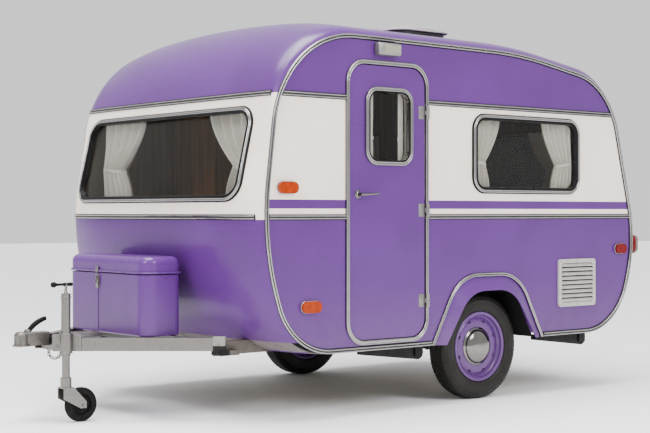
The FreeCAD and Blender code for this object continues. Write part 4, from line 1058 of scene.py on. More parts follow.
@dataclass
class BrightTrim:
    """Edge mouldings, waist and roofline strips, with their ribs and screws."""

    moulding_height: float = 0.008
    rib_insets: Pair = (0.0055, 0.0205)
    rib_radius: float = 0.005
    sealant_inset: float = 0.028
    sealant_radius: float = 0.0024
    line_steps: int = 24
    # Half the arch at the sill, half of it at its shoulder, its rise and its corners' radius.
    arch_trim: tuple[float, ...] = (0.472, 0.258, 0.400, 0.262)
    arch_ribs: Pair = (0.0055, 0.0175)
    arch_width: float = 0.026
    arch_overrun: float = 0.05
    arch_foot: Point = (0.003, 0.004, 0.001)
    # The foot and the width of each strip.
    strips: tuple[Pair, ...] = ((1.121, 0.027), (1.801, 0.028))
    strip_height: float = 0.006
    strip_rib_radius: float = 0.0042
    strip_rib_shares: Pair = (0.22, 0.78)
    strip_start: float = 0.030
    strip_clearance: float = 0.032
    strip_steps: int = 40
    door_margin: float = 0.0305
    screw_inset: float = 0.013
    screw_pitch: float = 0.24
    screw_radius: float = 0.0042
    screw_size: Point = (1.0, 1.0, 0.75)

    def arch_line(self, x: float, grow: float) -> list[Point]:
        """Draw a line along the arch strip, open at the sill.

        Args:
            x: Where it lies across the body.
            grow: How far it lies outside the strip's inner edge.

        Returns:
            The line.
        """
        base, top, rise, radius = self.arch_trim
        fillet, cut, end = self.arch_foot
        slope = (base - top) / rise
        foot = base + grow
        low = foot + self.arch_overrun * slope
        shoulder = top + grow / 2
        under = FORM.base - self.arch_overrun
        over = FORM.base + rise + grow
        outline = filleted([
            (AXLE_Y - low, under, fillet), (AXLE_Y + low, under, fillet),
            (AXLE_Y + shoulder, over, radius + grow), (AXLE_Y - shoulder, over, radius + grow),
        ], self.line_steps)
        above = [(x, y, z) for y, z in outline if z > FORM.base + cut]
        above.sort(key=lambda point: point[1])
        return [(x, AXLE_Y - foot, FORM.base + end), *above, (x, AXLE_Y + foot, FORM.base + end)]

    def edge_line(self, x: float, inset: float) -> list[Point]:
        """Draw a line along the moulding round the side, from one foot of the arch to the other.

        Args:
            x: Where it lies across the body.
            inset: How far it lies inside the body's edge.

        Returns:
            The line.
        """
        gap = self.arch_trim[0] + self.arch_width
        foot = FORM.base + inset
        line = [(x, y, z) for y, z in FORM.section(HALF_BODY, inset, self.line_steps)]
        return [(x, AXLE_Y - gap, foot), *line, (x, AXLE_Y + gap, foot)]

    def strip_lines(self, z: float, proud: float) -> list[Line]:
        """Draw a strip's lines on both sides and round both ends, broken at the door.

        Args:
            z: The height of the lines.
            proud: How far they lie off the body.

        Returns:
            The lines.
        """
        door_low, door_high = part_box("door_leaf")
        nose, tail = FORM.reach(HALF_BODY, z, self.strip_start)
        x = HALF_BODY + proud
        lines = [
            ([(x, nose, z), (x, door_low.y - self.door_margin, z)], False),
            ([(x, door_high.y + self.door_margin, z), (x, tail, z)], False),
            ([(-x, nose, z), (-x, tail, z)], False),
        ]
        for end in (0, 1):
            line = []
            for step in range(self.strip_steps + 1):
                turn = math.sin(math.pi * (step / self.strip_steps - 0.5))
                across = (HALF_BODY - self.strip_clearance) * turn
                line.append((across, FORM.reach(across, z, -proud)[end], z))
            lines.append((line, False))
        return lines

    def screw_marks(self, sign: int, x: float) -> list[Mark]:
        """Space screws evenly along one moulding.

        Args:
            sign: The side of the body.
            x: Where the screws lie across it.

        Returns:
            Their marks.
        """
        marks = []
        line = [Vector(point) for point in self.edge_line(x, self.screw_inset)]
        due = self.screw_pitch / 2
        for start, end in zip(line, line[1:]):
            run = (end - start).length
            while due < run:
                marks.append(Mark(start.lerp(end, due / run), Vector((sign, 0, 0))))
                due += self.screw_pitch
            due -= run
        return marks

    def build(self) -> None:
        """Dress the strips and lay their ribs, sealant and screws."""
        # The strips' base takes the dark groove paint, which is painted shade between the bright ribs laid on
        # it.
        dress(Paint.CHANNEL, "edge_mouldings", "waist_trims")
        ribs = []
        sealant = []
        screws = []
        for _, sign in SIDES:
            x = sign * (HALF_BODY + self.moulding_height)
            ribs.extend((self.edge_line(x, inset), False) for inset in self.rib_insets)
            ribs.extend((self.arch_line(x, grow), False) for grow in self.arch_ribs)
            foot = sign * (HALF_BODY + self.sealant_radius / 2)
            sealant.append((self.edge_line(foot, self.sealant_inset), False))
            screws.extend(self.screw_marks(sign, x))
        beads("moulding_ribs", ribs, self.rib_radius, Paint.TRIM)
        domes("moulding_screws", screws, self.screw_radius, self.screw_size, Paint.CHROME)
        lines = []
        for base, width in self.strips:
            for share in self.strip_rib_shares:
                lines.extend(self.strip_lines(base + width * share, self.strip_height))
            for z in (base, base + width):
                sealant.extend(self.strip_lines(z, self.sealant_radius / 2))
        beads("strip_ribs", lines, self.strip_rib_radius, Paint.TRIM, sides=8)
        beads("trim_sealant", sealant, self.sealant_radius, Paint.RUBBER, sides=8)


@dataclass
class Glazing:
    """Window frames with their ribs, outer gasket and inner seal, and the panes."""

    side_span: Pair = (-0.116, 0.817)
    side_rise: Pair = (1.310, 1.738)
    side_corner: float = 0.070
    # The width, sill height, height and corner radius of each end's window.
    front_size: tuple[float, ...] = (1.690, 1.250, 0.470, 0.088)
    rear_size: tuple[float, ...] = (1.300, 1.290, 0.430, 0.088)
    border: float = 0.028
    proud: float = 0.013
    rib_radius: float = 0.0048
    outer_rib: float = 0.006
    inner_rib: float = 0.001
    gasket_height: float = 0.003
    gasket_radius: float = 0.0042
    seal_gap: float = 0.001
    seal_radius: float = 0.0062
    loop_pitch: float = 0.05
    rear_from: float = 1.050
    far_share: float = 0.93

    def end_loop(self, sizes: tuple[float, ...], end: int, proud: float, grow: float) -> list[Point]:
        """Draw a loop round the front or rear window, on the body's curve.

        Args:
            sizes: The window's width, sill height, height and corner radius.
            end: Nought at the nose, one at the tail.
            proud: How far the loop lies off the body.
            grow: How far it lies outside the window.

        Returns:
            The loop.
        """
        width, sill, height, radius = sizes
        flat = round_loop((-width / 2, width / 2), (sill, sill + height), radius, grow, 8)
        fine = []
        for index, (x, z) in enumerate(flat):
            x0, z0 = flat[index - 1]
            count = max(1, int(math.hypot(x - x0, z - z0) / self.loop_pitch))
            for step in range(count):
                share = (step + 1) / count
                fine.append((x0 + (x - x0) * share, z0 + (z - z0) * share))
        return [(x, FORM.reach(x, z, -proud)[end], z) for x, z in fine]

    def loops(self, proud: float, grow: float) -> list[Line]:
        """Draw a loop round each of the four windows.

        Args:
            proud: How far the loops lie off the body.
            grow: How far they lie outside the windows.

        Returns:
            The loops.
        """
        span = (AXLE_Y + self.side_span[0], AXLE_Y + self.side_span[1])
        lines = []
        for _, sign in SIDES:
            lines.append(side_ring(sign * (HALF_BODY + proud), span, self.side_rise, self.side_corner, grow))
        for sizes, end in ((self.front_size, 0), (self.rear_size, 1)):
            lines.append((self.end_loop(sizes, end, proud, grow), True))
        return lines

    def darken_far_panes(self) -> None:
        """Darken the panes of the right side and the rear, as painted shade of the cabin behind them."""
        mesh = frame["nodes"]["window_panes"].data
        mesh.materials.append(Paint.SMOKED.material())
        for face in mesh.polygons:
            far_side = face.center.x < -HALF_BODY * self.far_share
            rear = face.center.y > AXLE_Y + self.rear_from
            face.material_index = 1 if far_side or rear else 0

    def build(self) -> None:
        """Dress the frames and panes and lay the beads round each window."""
        # The frames' base takes the dark groove paint, which is painted shade between the bright ribs laid on
        # it.
        dress(Paint.CHANNEL, "window_frames")
        dress(Paint.PANE, "window_panes", "door_window_pane")
        self.darken_far_panes()
        outer = self.loops(self.proud, self.border - self.outer_rib)
        inner = self.loops(self.proud, self.border / 2 - self.inner_rib)
        beads("window_frame_ribs", outer + inner, self.rib_radius, Paint.TRIM)
        gaskets = self.loops(self.gasket_height, self.border + self.seal_gap)
        beads("window_gaskets", gaskets, self.gasket_radius, Paint.RUBBER, sides=8)
        seals = self.loops(self.proud - self.seal_gap, self.seal_gap)
        beads("window_seals", seals, self.seal_radius, Paint.RUBBER, sides=10)


@dataclass
class EntryDoor:
    """The side door: surround, gaskets, window ring, lever handle and hinge plates."""

    corner: float = 0.108
    gap: float = 0.006
    surround: float = 0.024
    surround_height: float = 0.009
    rib_edge: float = 0.005
    rib_radius: float = 0.004
    gasket_depth: float = 0.002
    gasket_radius: float = 0.0023
    sealant_height: float = 0.002
    sealant_radius: float = 0.0025
    pane_margin: float = 0.0063
    window_corner: float = 0.062
    window_ribs: Pair = (0.006, 0.020)
    seal_grow: float = -0.002
    seal_radius: float = 0.005
    hinge_shares: tuple[float, ...] = (0.132, 0.471, 0.838)
    hinge_leaf: float = 0.003
    wall_plate: Pair = (0.0185, 0.0335)
    leaf_plate: Pair = (-0.048, -0.0005)
    plate_half: float = 0.0385
    plate_sink: float = 0.002
    plate_proud: float = 0.0025
    plate_edge: float = 0.0012
    screw_margin: float = 0.014
    screw_radius: float = 0.0038
    handle_rel: float = -1.074
    handle_z: float = 1.264
    # The rose's outline, outwards from the door and out from its middle.
    rose: tuple[Pair, ...] = (
        (0.0, 0.0), (0.0, 0.024), (0.004, 0.024), (0.007, 0.021), (0.0075, 0.015), (0.012, 0.012),
        (0.03, 0.0085), (0.036, 0.009), (0.041, 0.007), (0.043, 0.0),
    )
    lever_steps: int = 14
    lever_height: float = 0.034
    lever_bow: float = 0.004
    lever_start: float = -0.006
    lever_length: float = 0.133
    lever_lift: float = 0.006
    lever_radii: Pair = (0.0082, 0.0056)

    def build(self) -> None:
        """Dress the door's nodes and add its beads, handle and hinge plates."""
        dress(Paint.PURPLE_ENAMEL, "door_leaf")
        face_inwards(Paint.LINING, "door_leaf", lean=0.75)
        dress(Paint.TRIM, "door_surround", "door_window_frame")
        dress(Paint.PRESSED, "door_hinge_knuckles", "door_hinge_straps")
        self.frame_door()
        self.frame_window()
        self.make_handle()
        self.make_hinge_plates()

    def frame_door(self) -> None:
        """Lay the surround's two ribs, its sealant and the gasket in the door's gap."""
        low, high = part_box("door_leaf")
        outline = ((low.y, high.y), (low.z, high.z), self.corner)
        edge = self.gap + self.surround
        face = HALF_BODY + self.surround_height
        ribs = [side_ring(face, *outline, grow) for grow in (self.gap + self.rib_edge, edge - self.rib_edge)]
        beads("surround_ribs", ribs, self.rib_radius, Paint.TRIM)
        gasket = side_ring(HALF_BODY - self.gasket_depth, *outline, self.gap / 2)
        beads("door_gasket", [gasket], self.gasket_radius, Paint.RUBBER, sides=8)
        sealant = side_ring(HALF_BODY + self.sealant_height, *outline, edge)
        beads("surround_sealant", [sealant], self.sealant_radius, Paint.RUBBER, sides=8)

    def frame_window(self) -> None:
        """Lay the ribs of the door window's frame and the seal inside it."""
        low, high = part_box("door_window_pane")
        margin = self.pane_margin
        outline = ((low.y - margin, high.y + margin), (low.z - margin, high.z + margin), self.window_corner)
        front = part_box("door_window_frame")[1].x
        ribs = [side_ring(front, *outline, grow) for grow in self.window_ribs]
        beads("door_window_ribs", ribs, self.rib_radius, Paint.TRIM, "door")
        seal = side_ring(front, *outline, self.seal_grow)
        beads("door_window_seal", [seal], self.seal_radius, Paint.RUBBER, "door", 10)

    def make_hinge_plates(self) -> None:
        """Lay a bright plate over every hinge leaf, on the wall and on the door, and screw it down."""
        low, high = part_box("door_leaf")
        surround_face = HALF_BODY + self.surround_height + self.hinge_leaf
        sides = (("wall", "root", surround_face, self.wall_plate), ("leaf", "door", high.x, self.leaf_plate))
        for number, share in enumerate(self.hinge_shares):
            middle = low.z + share * (high.z - low.z)
            base = middle - self.plate_half
            top = middle + self.plate_half
            for side, body, face, plate in sides:
                near, far = (high.y + place for place in plate)
                front = face + self.plate_proud
                bevelled(f"hinge_plate_{side}_{number}", (face - self.plate_sink, near, base),
                         (front, far, top), self.plate_edge, Paint.PRESSED, body)
                marks = []
                for z in (base + self.screw_margin, top - self.screw_margin):
                    marks.append(Mark(Vector((front, (near + far) / 2, z)), Vector((1, 0, 0))))
                domes(f"hinge_screws_{side}_{number}", marks, self.screw_radius, FLAT_HEAD, Paint.CHROME,
                      body)

    def make_handle(self) -> None:
        """Make the lever handle: a stepped rose and a curved, tapering lever."""
        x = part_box("door_handle")[0].x
        y = AXLE_Y + self.handle_rel
        centre = Vector((x, y, self.handle_z))
        handle = revolved("handle_rose", list(self.rose), centre, Vector((1, 0, 0)), 40, Paint.CHROME, "door")
        thick, thin = self.lever_radii
        path = []
        radii = []
        for step in range(self.lever_steps + 1):
            share = step / self.lever_steps
            bow = math.sin(math.pi * share) * self.lever_bow
            path.append(Vector((x + self.lever_height + bow, y + self.lever_start + self.lever_length * share,
                                self.handle_z + self.lever_lift * share ** 2)))
            radii.append(thick + (thin - thick) * share)
        lever = tube("handle_lever", path, radii, Paint.CHROME, "door")
        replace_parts(handle, "door_handle")
        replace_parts(lever, "door_handle")


@dataclass
class Lamps:
    """Marker lamps, reflectors, tail lamps and the lamp over the door."""

    bezel: float = 0.0048
    # The start and length along the body, and the foot and height, of each lamp.
    side_lamps: tuple[tuple[float, ...], ...] = (
        (-1.656, 0.136, 1.265, 0.064),
        (-1.491, 0.136, 0.603, 0.064),
        (1.212, 0.114, 0.883, 0.065),
    )
    end_share: float = 0.49
    porch_lens: Pair = (0.010, 0.006)
    porch_edge: float = 0.010
    porch_end: float = 0.034
    tail_base: float = 0.020
    tail_half: float = 0.032

    def bezels(self) -> None:
        """Lay a bright bezel round the foot of every lamp."""
        lines = []
        for _, sign in SIDES:
            x = sign * (HALF_BODY + self.bezel)
            for start, width, base, height in self.side_lamps:
                span = (AXLE_Y + start, AXLE_Y + start + width)
                corner = height * self.end_share
                lines.append(side_ring(x, span, (base, base + height), corner, -self.bezel / 3))
        low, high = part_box("tail_lamps")
        half = self.tail_half
        for _, sign in SIDES:
            centre = sign * (high.x - half)
            loop = round_loop((centre - half, centre + half), (low.z, high.z), 2 * half * self.end_share)
            lines.append(([(x, high.y - self.tail_base, z) for x, z in loop], True))
        beads("lamp_bezels", lines, self.bezel, Paint.PRESSED)

    def make_porch_lamp(self) -> None:
        """Make the lamp over the door: a rounded housing and a ribbed opal lens in it."""
        low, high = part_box("porch_lamp")
        inset, proud = self.porch_lens
        housing = bevelled("porch_lamp_housing", (low.x, low.y, low.z), (high.x - proud, high.y, high.z),
                           self.porch_edge, Paint.PRESSED, "root")
        lens = bevelled("porch_lamp_lens", (high.x - 3 * proud, low.y + self.porch_end, low.z + inset),
                        (high.x, high.y - inset, high.z - inset), proud / 2, Paint.OPAL, "root")
        for piece in (housing, lens):
            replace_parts(piece, "porch_lamp")

    def build(self) -> None:
        """Dress the lenses, lay the bezels and make the porch lamp."""
        dress(Paint.AMBER, "marker_lamps")
        dress(Paint.RED, "side_reflectors", "tail_lamps")
        self.bezels()
        self.make_porch_lamp()


@dataclass
class VentGrille:
    """The louvred vent, with a dark bead of painted shade under each louvre, and its corner screws."""

    screw_inset: float = 0.013
    screw_radius: float = 0.0042
    border: float = 0.026
    # The louvres' count, and the dark bead of painted shade under each: its place in the pitch and its
    # radius.
    slots: int = 9
    slot_share: float = 0.08
    slot_radius: float = 0.0055
    corner: float = 0.020
    edge_radius: float = 0.004

    def build(self) -> None:
        """Dress the vent, lay a dark bead of painted shade under each louvre, roll its rims and set its
        screws.
        """
        dress(Paint.LOUVRE, "vent_grille")
        low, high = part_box("vent_grille")
        pitch = (high.z - low.z - 2 * self.border) / self.slots
        x = HALF_BODY + self.slot_radius
        lines = []
        for index in range(1, self.slots + 1):
            z = low.z + self.border + pitch * (index + self.slot_share)
            lines.append(([(x, low.y + self.border, z), (x, high.y - self.border, z)], False))
        # Each bead is painted shade, where the lip of the louvre above shades the gap.
        beads("louvre_slots", lines, self.slot_radius, Paint.RUBBER, sides=8)
        rims = []
        for grow in (-self.edge_radius, -self.border + self.edge_radius):
            rims.append(side_ring(high.x - self.edge_radius / 2, (low.y, high.y), (low.z, high.z),
                                  self.corner + self.border, grow))
        beads("grille_rims", rims, self.edge_radius, Paint.LOUVRE)
        marks = []
        for y in (low.y + self.screw_inset, (low.y + high.y) / 2, high.y - self.screw_inset):
            for z in (low.z + self.screw_inset, high.z - self.screw_inset):
                marks.append(Mark(Vector((high.x, y, z)), Vector((1, 0, 0))))
        domes("grille_screws", marks, self.screw_radius, FLAT_HEAD, Paint.CHROME)


@dataclass
class RoofVent:
    """The roof vent: a dark frame and a crowned grey lid with a rolled edge."""

    lid_corner: float = 0.090
    edge_radius: float = 0.0065
    overhang: float = 0.044
    half_size: float = 0.190
    crown_radius: float = 1.450
    corner_share: float = 0.72

    def build(self) -> None:
        """Dress the vent and roll the lid's edge."""
        # The vent's frame takes the same dark groove paint, which is painted shade.
        dress(Paint.CHANNEL, "roof_vent_frame")
        dress(Paint.LOUVRE, "roof_vent_lid")
        low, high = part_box("roof_vent_lid")
        x = (low.x + high.x) / 2
        y = low.y + self.half_size + self.overhang
        reach = self.half_size + self.overhang - self.edge_radius / 2
        loop = round_loop((x - reach, x + reach), (y - reach, y + reach), self.lid_corner)
        drop = self.crown_radius - math.sqrt(self.crown_radius ** 2 - 2 * reach ** 2 * self.corner_share)
        z = high.z - drop - self.edge_radius
        edge = ([(u, v, z) for u, v in loop], True)
        beads("roof_lid_edge", [edge], self.edge_radius, Paint.LOUVRE, "roof_vent_lid")


@dataclass
class RoadWheel:
    """A road wheel: treaded tyre, pressed rim with dark inlays painted as the shade in its slots, and a domed
    hub cap.
    """

    side: str
    sign: int
    track: float = 1.720
    tyre_radius: float = 0.325
    bead_radius: float = 0.203
    flange: float = 0.014
    tread_steps: int = 288
    tread_middles: Pair = (0.040, 0.0195)
    zigzag: float = 0.0022
    groove_depth: float = 0.006
    notch_depth: float = 0.003
    cap_radius: float = 0.119
    cap_height: float = 0.046
    cap_steps: int = 12
    disc_offset: float = 0.034
    # The dark slot inlays of painted shade: their count, sinking, inset, lean, radius and size.
    slot_count: int = 8
    slot_depth: float = 0.0035
    slot_inset: float = 0.041
    slot_lean: float = 0.5
    slot_radius: float = 0.017
    slot_size: Point = (1.0, 0.42, 0.2)

    def tyre_profile(self) -> list[tuple[float, float, float, float]]:
        """Draw half the tyre's outline, from its bead to the middle of its tread.

        Returns:
            Each point's place across, radius, share of the zigzag and share of the shoulder notches.
        """
        lip = self.bead_radius + self.flange
        wall = [(0.0575, self.bead_radius + 0.001, 0, 0)]
        for across, rise in (
                (0.0575, 0.002), (0.064, 0.004), (0.0685, 0.010), (0.0700, 0.013), (0.0690, 0.015),
                (0.0725, 0.030), (0.0748, 0.044), (0.0750, 0.052), (0.0738, 0.066), (0.0745, 0.068),
                (0.0745, 0.071), (0.0725, 0.074), (0.0690, 0.086)):
            wall.append((across, lip + rise, 0, 0))
        shoulder = [
            (0.0640, self.tyre_radius - 0.011, 0, 1), (0.0570, self.tyre_radius - 0.004, 0, 1),
            (0.0500, self.tyre_radius - 0.0015, 0.3, 0),
        ]
        tread = []
        for middle in self.tread_middles:
            for offset, drop in ((0.003, 0), (0.0022, 1), (-0.0022, 1), (-0.003, 0)):
                tread.append((middle + offset, self.tyre_radius - drop * self.groove_depth, 1, 0))
        tread.append((0.003, self.tyre_radius, 1, 0))
        tread.append((0.002, self.tyre_radius - self.groove_depth, 1, 0))
        return wall + shoulder + tread

    def make_tyre(self, centre: Vector) -> Piece:
        """Turn the tyre, with zigzag grooves and notched shoulders.

        Args:
            centre: The wheel's middle.

        Returns:
            The tyre.
        """
        half = self.tyre_profile()
        profile = half + [(-across, radius, wave, notch) for across, radius, wave, notch in reversed(half)]
        rings = []
        for step in range(self.tread_steps):
            angle = 2 * math.pi * step / self.tread_steps
            swing = self.zigzag * (1 if step % 4 in (1, 2) else -1)
            notch = self.notch_depth if step % 4 == 0 else 0.0
            ring = []
            for across, radius, wave, cut in profile:
                reach = radius - cut * notch
                place = (across + wave * swing, reach * math.cos(angle), reach * math.sin(angle))
                ring.append(centre + Vector(place))
            rings.append(ring)
        points, faces = ring_mesh(rings)
        return shaped("road_tyre_" + self.side, points, faces, Paint.TYRE, "wheel_" + self.side, degrees=28.0)

    def rim_profile(self) -> list[Pair]:
        """Give the pressed rim's outline, across and out from the wheel's middle.

        Returns:
            The outline.
        """
        bead = self.bead_radius
        disc = self.disc_offset
        outline = [
            (-0.062, bead + 0.014), (-0.056, bead + 0.014), (-0.056, bead), (0.056, bead),
            (0.0565, bead + 0.010), (0.060, bead + 0.014), (0.064, bead + 0.012), (0.063, bead + 0.004),
            (0.061, bead - 0.006), (0.052, bead - 0.008), (0.044, bead - 0.009), (0.036, bead - 0.020),
            (0.028, bead - 0.024), (disc - 0.010, bead - 0.026), (disc - 0.002, bead - 0.036),
            (disc, bead - 0.048), (disc, bead - 0.066), (disc - 0.001, 0.070), (disc - 0.006, 0.070),
            (disc - 0.006, bead - 0.052), (disc - 0.015, bead - 0.031), (-0.030, bead - 0.030),
            (-0.040, bead - 0.007), (-0.062, bead - 0.006),
        ]
        return [(self.sign * across, radius) for across, radius in outline]

    def cap_profile(self) -> list[Pair]:
        """Give the hub cap's outline: a rolled rim, a step and a dome.

        Returns:
            The outline.
        """
        base = self.disc_offset + 0.0004
        outline = [
            (base, 0.02), (base, self.cap_radius - 0.001), (base + 0.003, self.cap_radius),
            (base + 0.006, self.cap_radius - 0.003), (base + 0.0065, self.cap_radius - 0.010),
            (base + 0.009, self.cap_radius - 0.012),
        ]
        for step in range(self.cap_steps + 1):
            angle = math.pi / 2 * step / self.cap_steps
            outline.append((base + 0.009 + (self.cap_height - 0.0095) * math.sin(angle),
                            (self.cap_radius - 0.013) * math.cos(angle)))
        outline.append((base + self.cap_height - 0.004, 0.0))
        return [(self.sign * across, radius) for across, radius in outline]

    def slot_marks(self, centre: Vector) -> list[Mark]:
        """Space the rim's slots, dark inlays of painted shade, round its disc.

        Args:
            centre: The wheel's middle.

        Returns:
            Their marks.
        """
        across = Vector((self.sign, 0, 0))
        marks = []
        for index in range(self.slot_count):
            angle = 2 * math.pi * (index + 0.5) / self.slot_count
            spoke = Vector((0, math.cos(angle), math.sin(angle)))
            place = centre + across * (self.disc_offset - self.slot_depth)
            place += spoke * (self.bead_radius - self.slot_inset)
            marks.append(Mark(place, across + spoke * self.slot_lean, Vector((1, 0, 0)).cross(spoke)))
        return marks

    def build(self) -> None:
        """Build the wheel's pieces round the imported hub."""
        body = "wheel_" + self.side
        axis = Vector((1, 0, 0))
        centre = Vector((self.sign * self.track / 2, AXLE_Y, self.tyre_radius))
        tyre = self.make_tyre(centre)
        rim = revolved("pressed_rim_" + self.side, eased(self.rim_profile(), 2), centre, axis, 120,
                       Paint.PURPLE_ENAMEL, body)
        cap = revolved("domed_cap_" + self.side, self.cap_profile(), centre, axis, 96, Paint.CHROME, body,
                       50.0)
        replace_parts(tyre, "tyre_" + self.side)
        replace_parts(rim, "wheel_rim_" + self.side)
        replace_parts(cap, "hub_cap_" + self.side)
        dress(Paint.CHASSIS, "brake_drum_" + self.side)
        # The slots are not cut: dark inlays on the disc are painted shade where the openings would be.
        domes("rim_slots_" + self.side, self.slot_marks(centre), self.slot_radius, self.slot_size,
              Paint.RUBBER, body, 16)


@dataclass
class Underframe:
    """Chassis, axle and corner steadies, with the bolts that hold the axle."""

    bolt_places: Pair = (0.600, 0.680)
    bolt_backs: Pair = (0.018, 0.052)
    bolt_drop: float = 0.070
    bolt_radius: float = 0.010
    bolt_height: float = 0.007

    def build(self) -> None:
        """Dress the frame under the floor and bolt the axle to it."""
        dress(Paint.CHASSIS, "chassis")
        dress(Paint.BRACKET, "axle", "steady_front_left", "steady_front_right", "steady_rear_left",
              "steady_rear_right")
        low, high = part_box("axle")
        marks = []
        for sign in (-1, 1):
            for x in self.bolt_places:
                for back in self.bolt_backs:
                    place = Vector((sign * x, low.y + back, high.z - self.bolt_drop))
                    marks.append(Mark(place, Vector((0, 0, -1)), Vector((1, 0, 0))))
        bolts("axle_bolts", marks, self.bolt_radius, self.bolt_height, Paint.ZINC)


@dataclass
class DrawbarGear:
    """Drawbar, coupling with its lever, bellows and safety chain."""

    tail_offset: float = 0.690
    tail_reach: float = 1.785
    angle: float = math.radians(39.5)
    height: float = 0.430
    rail_half: float = 0.024
    rail_bolts: Pair = (0.030, 0.720)
    head_half: float = 0.031
    head_rise: float = 0.035
    head_bolts: Pair = (0.026, 0.066)
    bolt_radius: float = 0.009
    bolt_height: float = 0.006
    lever_front: float = 0.086
    lever_base: float = 0.491
    # The lever's run, its rise, and how far its middle bulges upwards.
    lever_arc: Point = (0.112, 0.078, 0.013)
    lever_radius: float = 0.013
    lever_steps: int = 20
    # The grip's thickness at its ends, what its middle adds, and the part of a half wave that it follows.
    grip_swell: Pair = (0.80, 0.32)
    grip_span: Pair = (0.12, 0.92)
    pivot: tuple[Pair, ...] = (
        (-0.020, 0.0), (-0.020, 0.009), (-0.015, 0.015), (0.015, 0.015), (0.020, 0.009), (0.020, 0.0),
    )
    ribs: int = 6
    rib_steps: int = 8
    # The bellows' cuffs, the middle of its ribs and their depth as shares of its radius, and its ribbed part.
    cuff: float = 0.82
    rib_middle: float = 0.9
    rib_depth: float = 0.1
    ribbed_part: Pair = (0.04, 0.96)

    @property
    def outward(self) -> Vector:
        """Give the way that the left rail's outer face looks."""
        return Vector((math.cos(self.angle), -math.sin(self.angle), 0))

    def point(self, along: float, out: float, z: float, sign: int = 1) -> Vector:
        """Give a place beside a rail.

        Args:
            along: How far it lies forwards along the rail.
            out: How far it lies out from the rail's middle.
            z: Its height.
            sign: The side of the body.

        Returns:
            The place.
        """
        x = self.tail_offset - math.sin(self.angle) * along + math.cos(self.angle) * out
        y = AXLE_Y - self.tail_reach - math.cos(self.angle) * along - math.sin(self.angle) * out
        return Vector((sign * x, y, z))

    def build(self) -> None:
        """Dress the drawbar and build the coupling's lever, bellows and fixings."""
        dress(Paint.ZINC, "drawbar_frame", "safety_chain")
        dress(Paint.CAST_ZINC, "coupling_head")
        self.make_lever()
        self.make_bellows()
        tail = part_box("coupling_head")[1].y
        marks = []
        for sign in (-1, 1):
            facing = Vector((sign * self.outward.x, self.outward.y, 0))
            for along in self.rail_bolts:
                marks.append(Mark(self.point(along, self.rail_half, self.height, sign), facing))
            for back in self.head_bolts:
                place = Vector((sign * self.head_half, tail - back, self.height + self.head_rise))
                marks.append(Mark(place, Vector((sign, 0, 0))))
        bolts("drawbar_bolts", marks, self.bolt_radius, self.bolt_height, Paint.ZINC)

    def make_lever(self) -> None:
        """Make the coupling's pivot and its curved black grip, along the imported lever's arc."""
        start = Vector((0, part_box("coupling_head")[0].y + self.lever_front, self.lever_base))
        run, rise, bulge = self.lever_arc
        lift = Vector((0, -rise, run)).normalized() * bulge
        thin, swell = self.grip_swell
        first, last = self.grip_span
        path = []
        radii = []
        for step in range(self.lever_steps + 1):
            share = step / self.lever_steps
            path.append(start + Vector((0, run, rise)) * share + lift * (4 * share * (1 - share)))
            wave = math.sin(math.pi * (first + (last - first) * share))
            radii.append(self.lever_radius * (thin + swell * wave ** 0.5))
        grip = tube("lever_grip", path, radii, Paint.RUBBER, "root")
        centre = start + Vector((0, 0, self.lever_radius / 2))
        boss = revolved("lever_pivot", list(self.pivot), centre, Vector((1, 0, 0)), 32, Paint.CAST_ZINC,
                        "root")
        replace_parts(grip, "coupling_lever")
        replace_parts(boss, "coupling_lever")

    def make_bellows(self) -> None:
        """Make the rubber bellows with its convolutions."""
        low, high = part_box("overrun_bellows")
        length = high.y - low.y
        outer = (high.x - low.x) / 2
        start, end = self.ribbed_part
        steps = self.ribs * self.rib_steps
        profile = [(0.0, 0.0), (0.0, outer * self.cuff)]
        for index in range(steps + 1):
            share = index / steps
            wave = math.cos(2 * math.pi * self.ribs * share + math.pi)
            profile.append((length * (start + (end - start) * share),
                            outer * (self.rib_middle + self.rib_depth * wave)))
        profile.extend([(length, outer * self.cuff), (length, 0.0)])
        centre = Vector((0, low.y, (low.z + high.z) / 2))
        bellows = revolved("ribbed_bellows", profile, centre, Vector((0, 1, 0)), 48, Paint.RUBBER, "root",
                           60.0)
        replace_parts(bellows, "overrun_bellows")


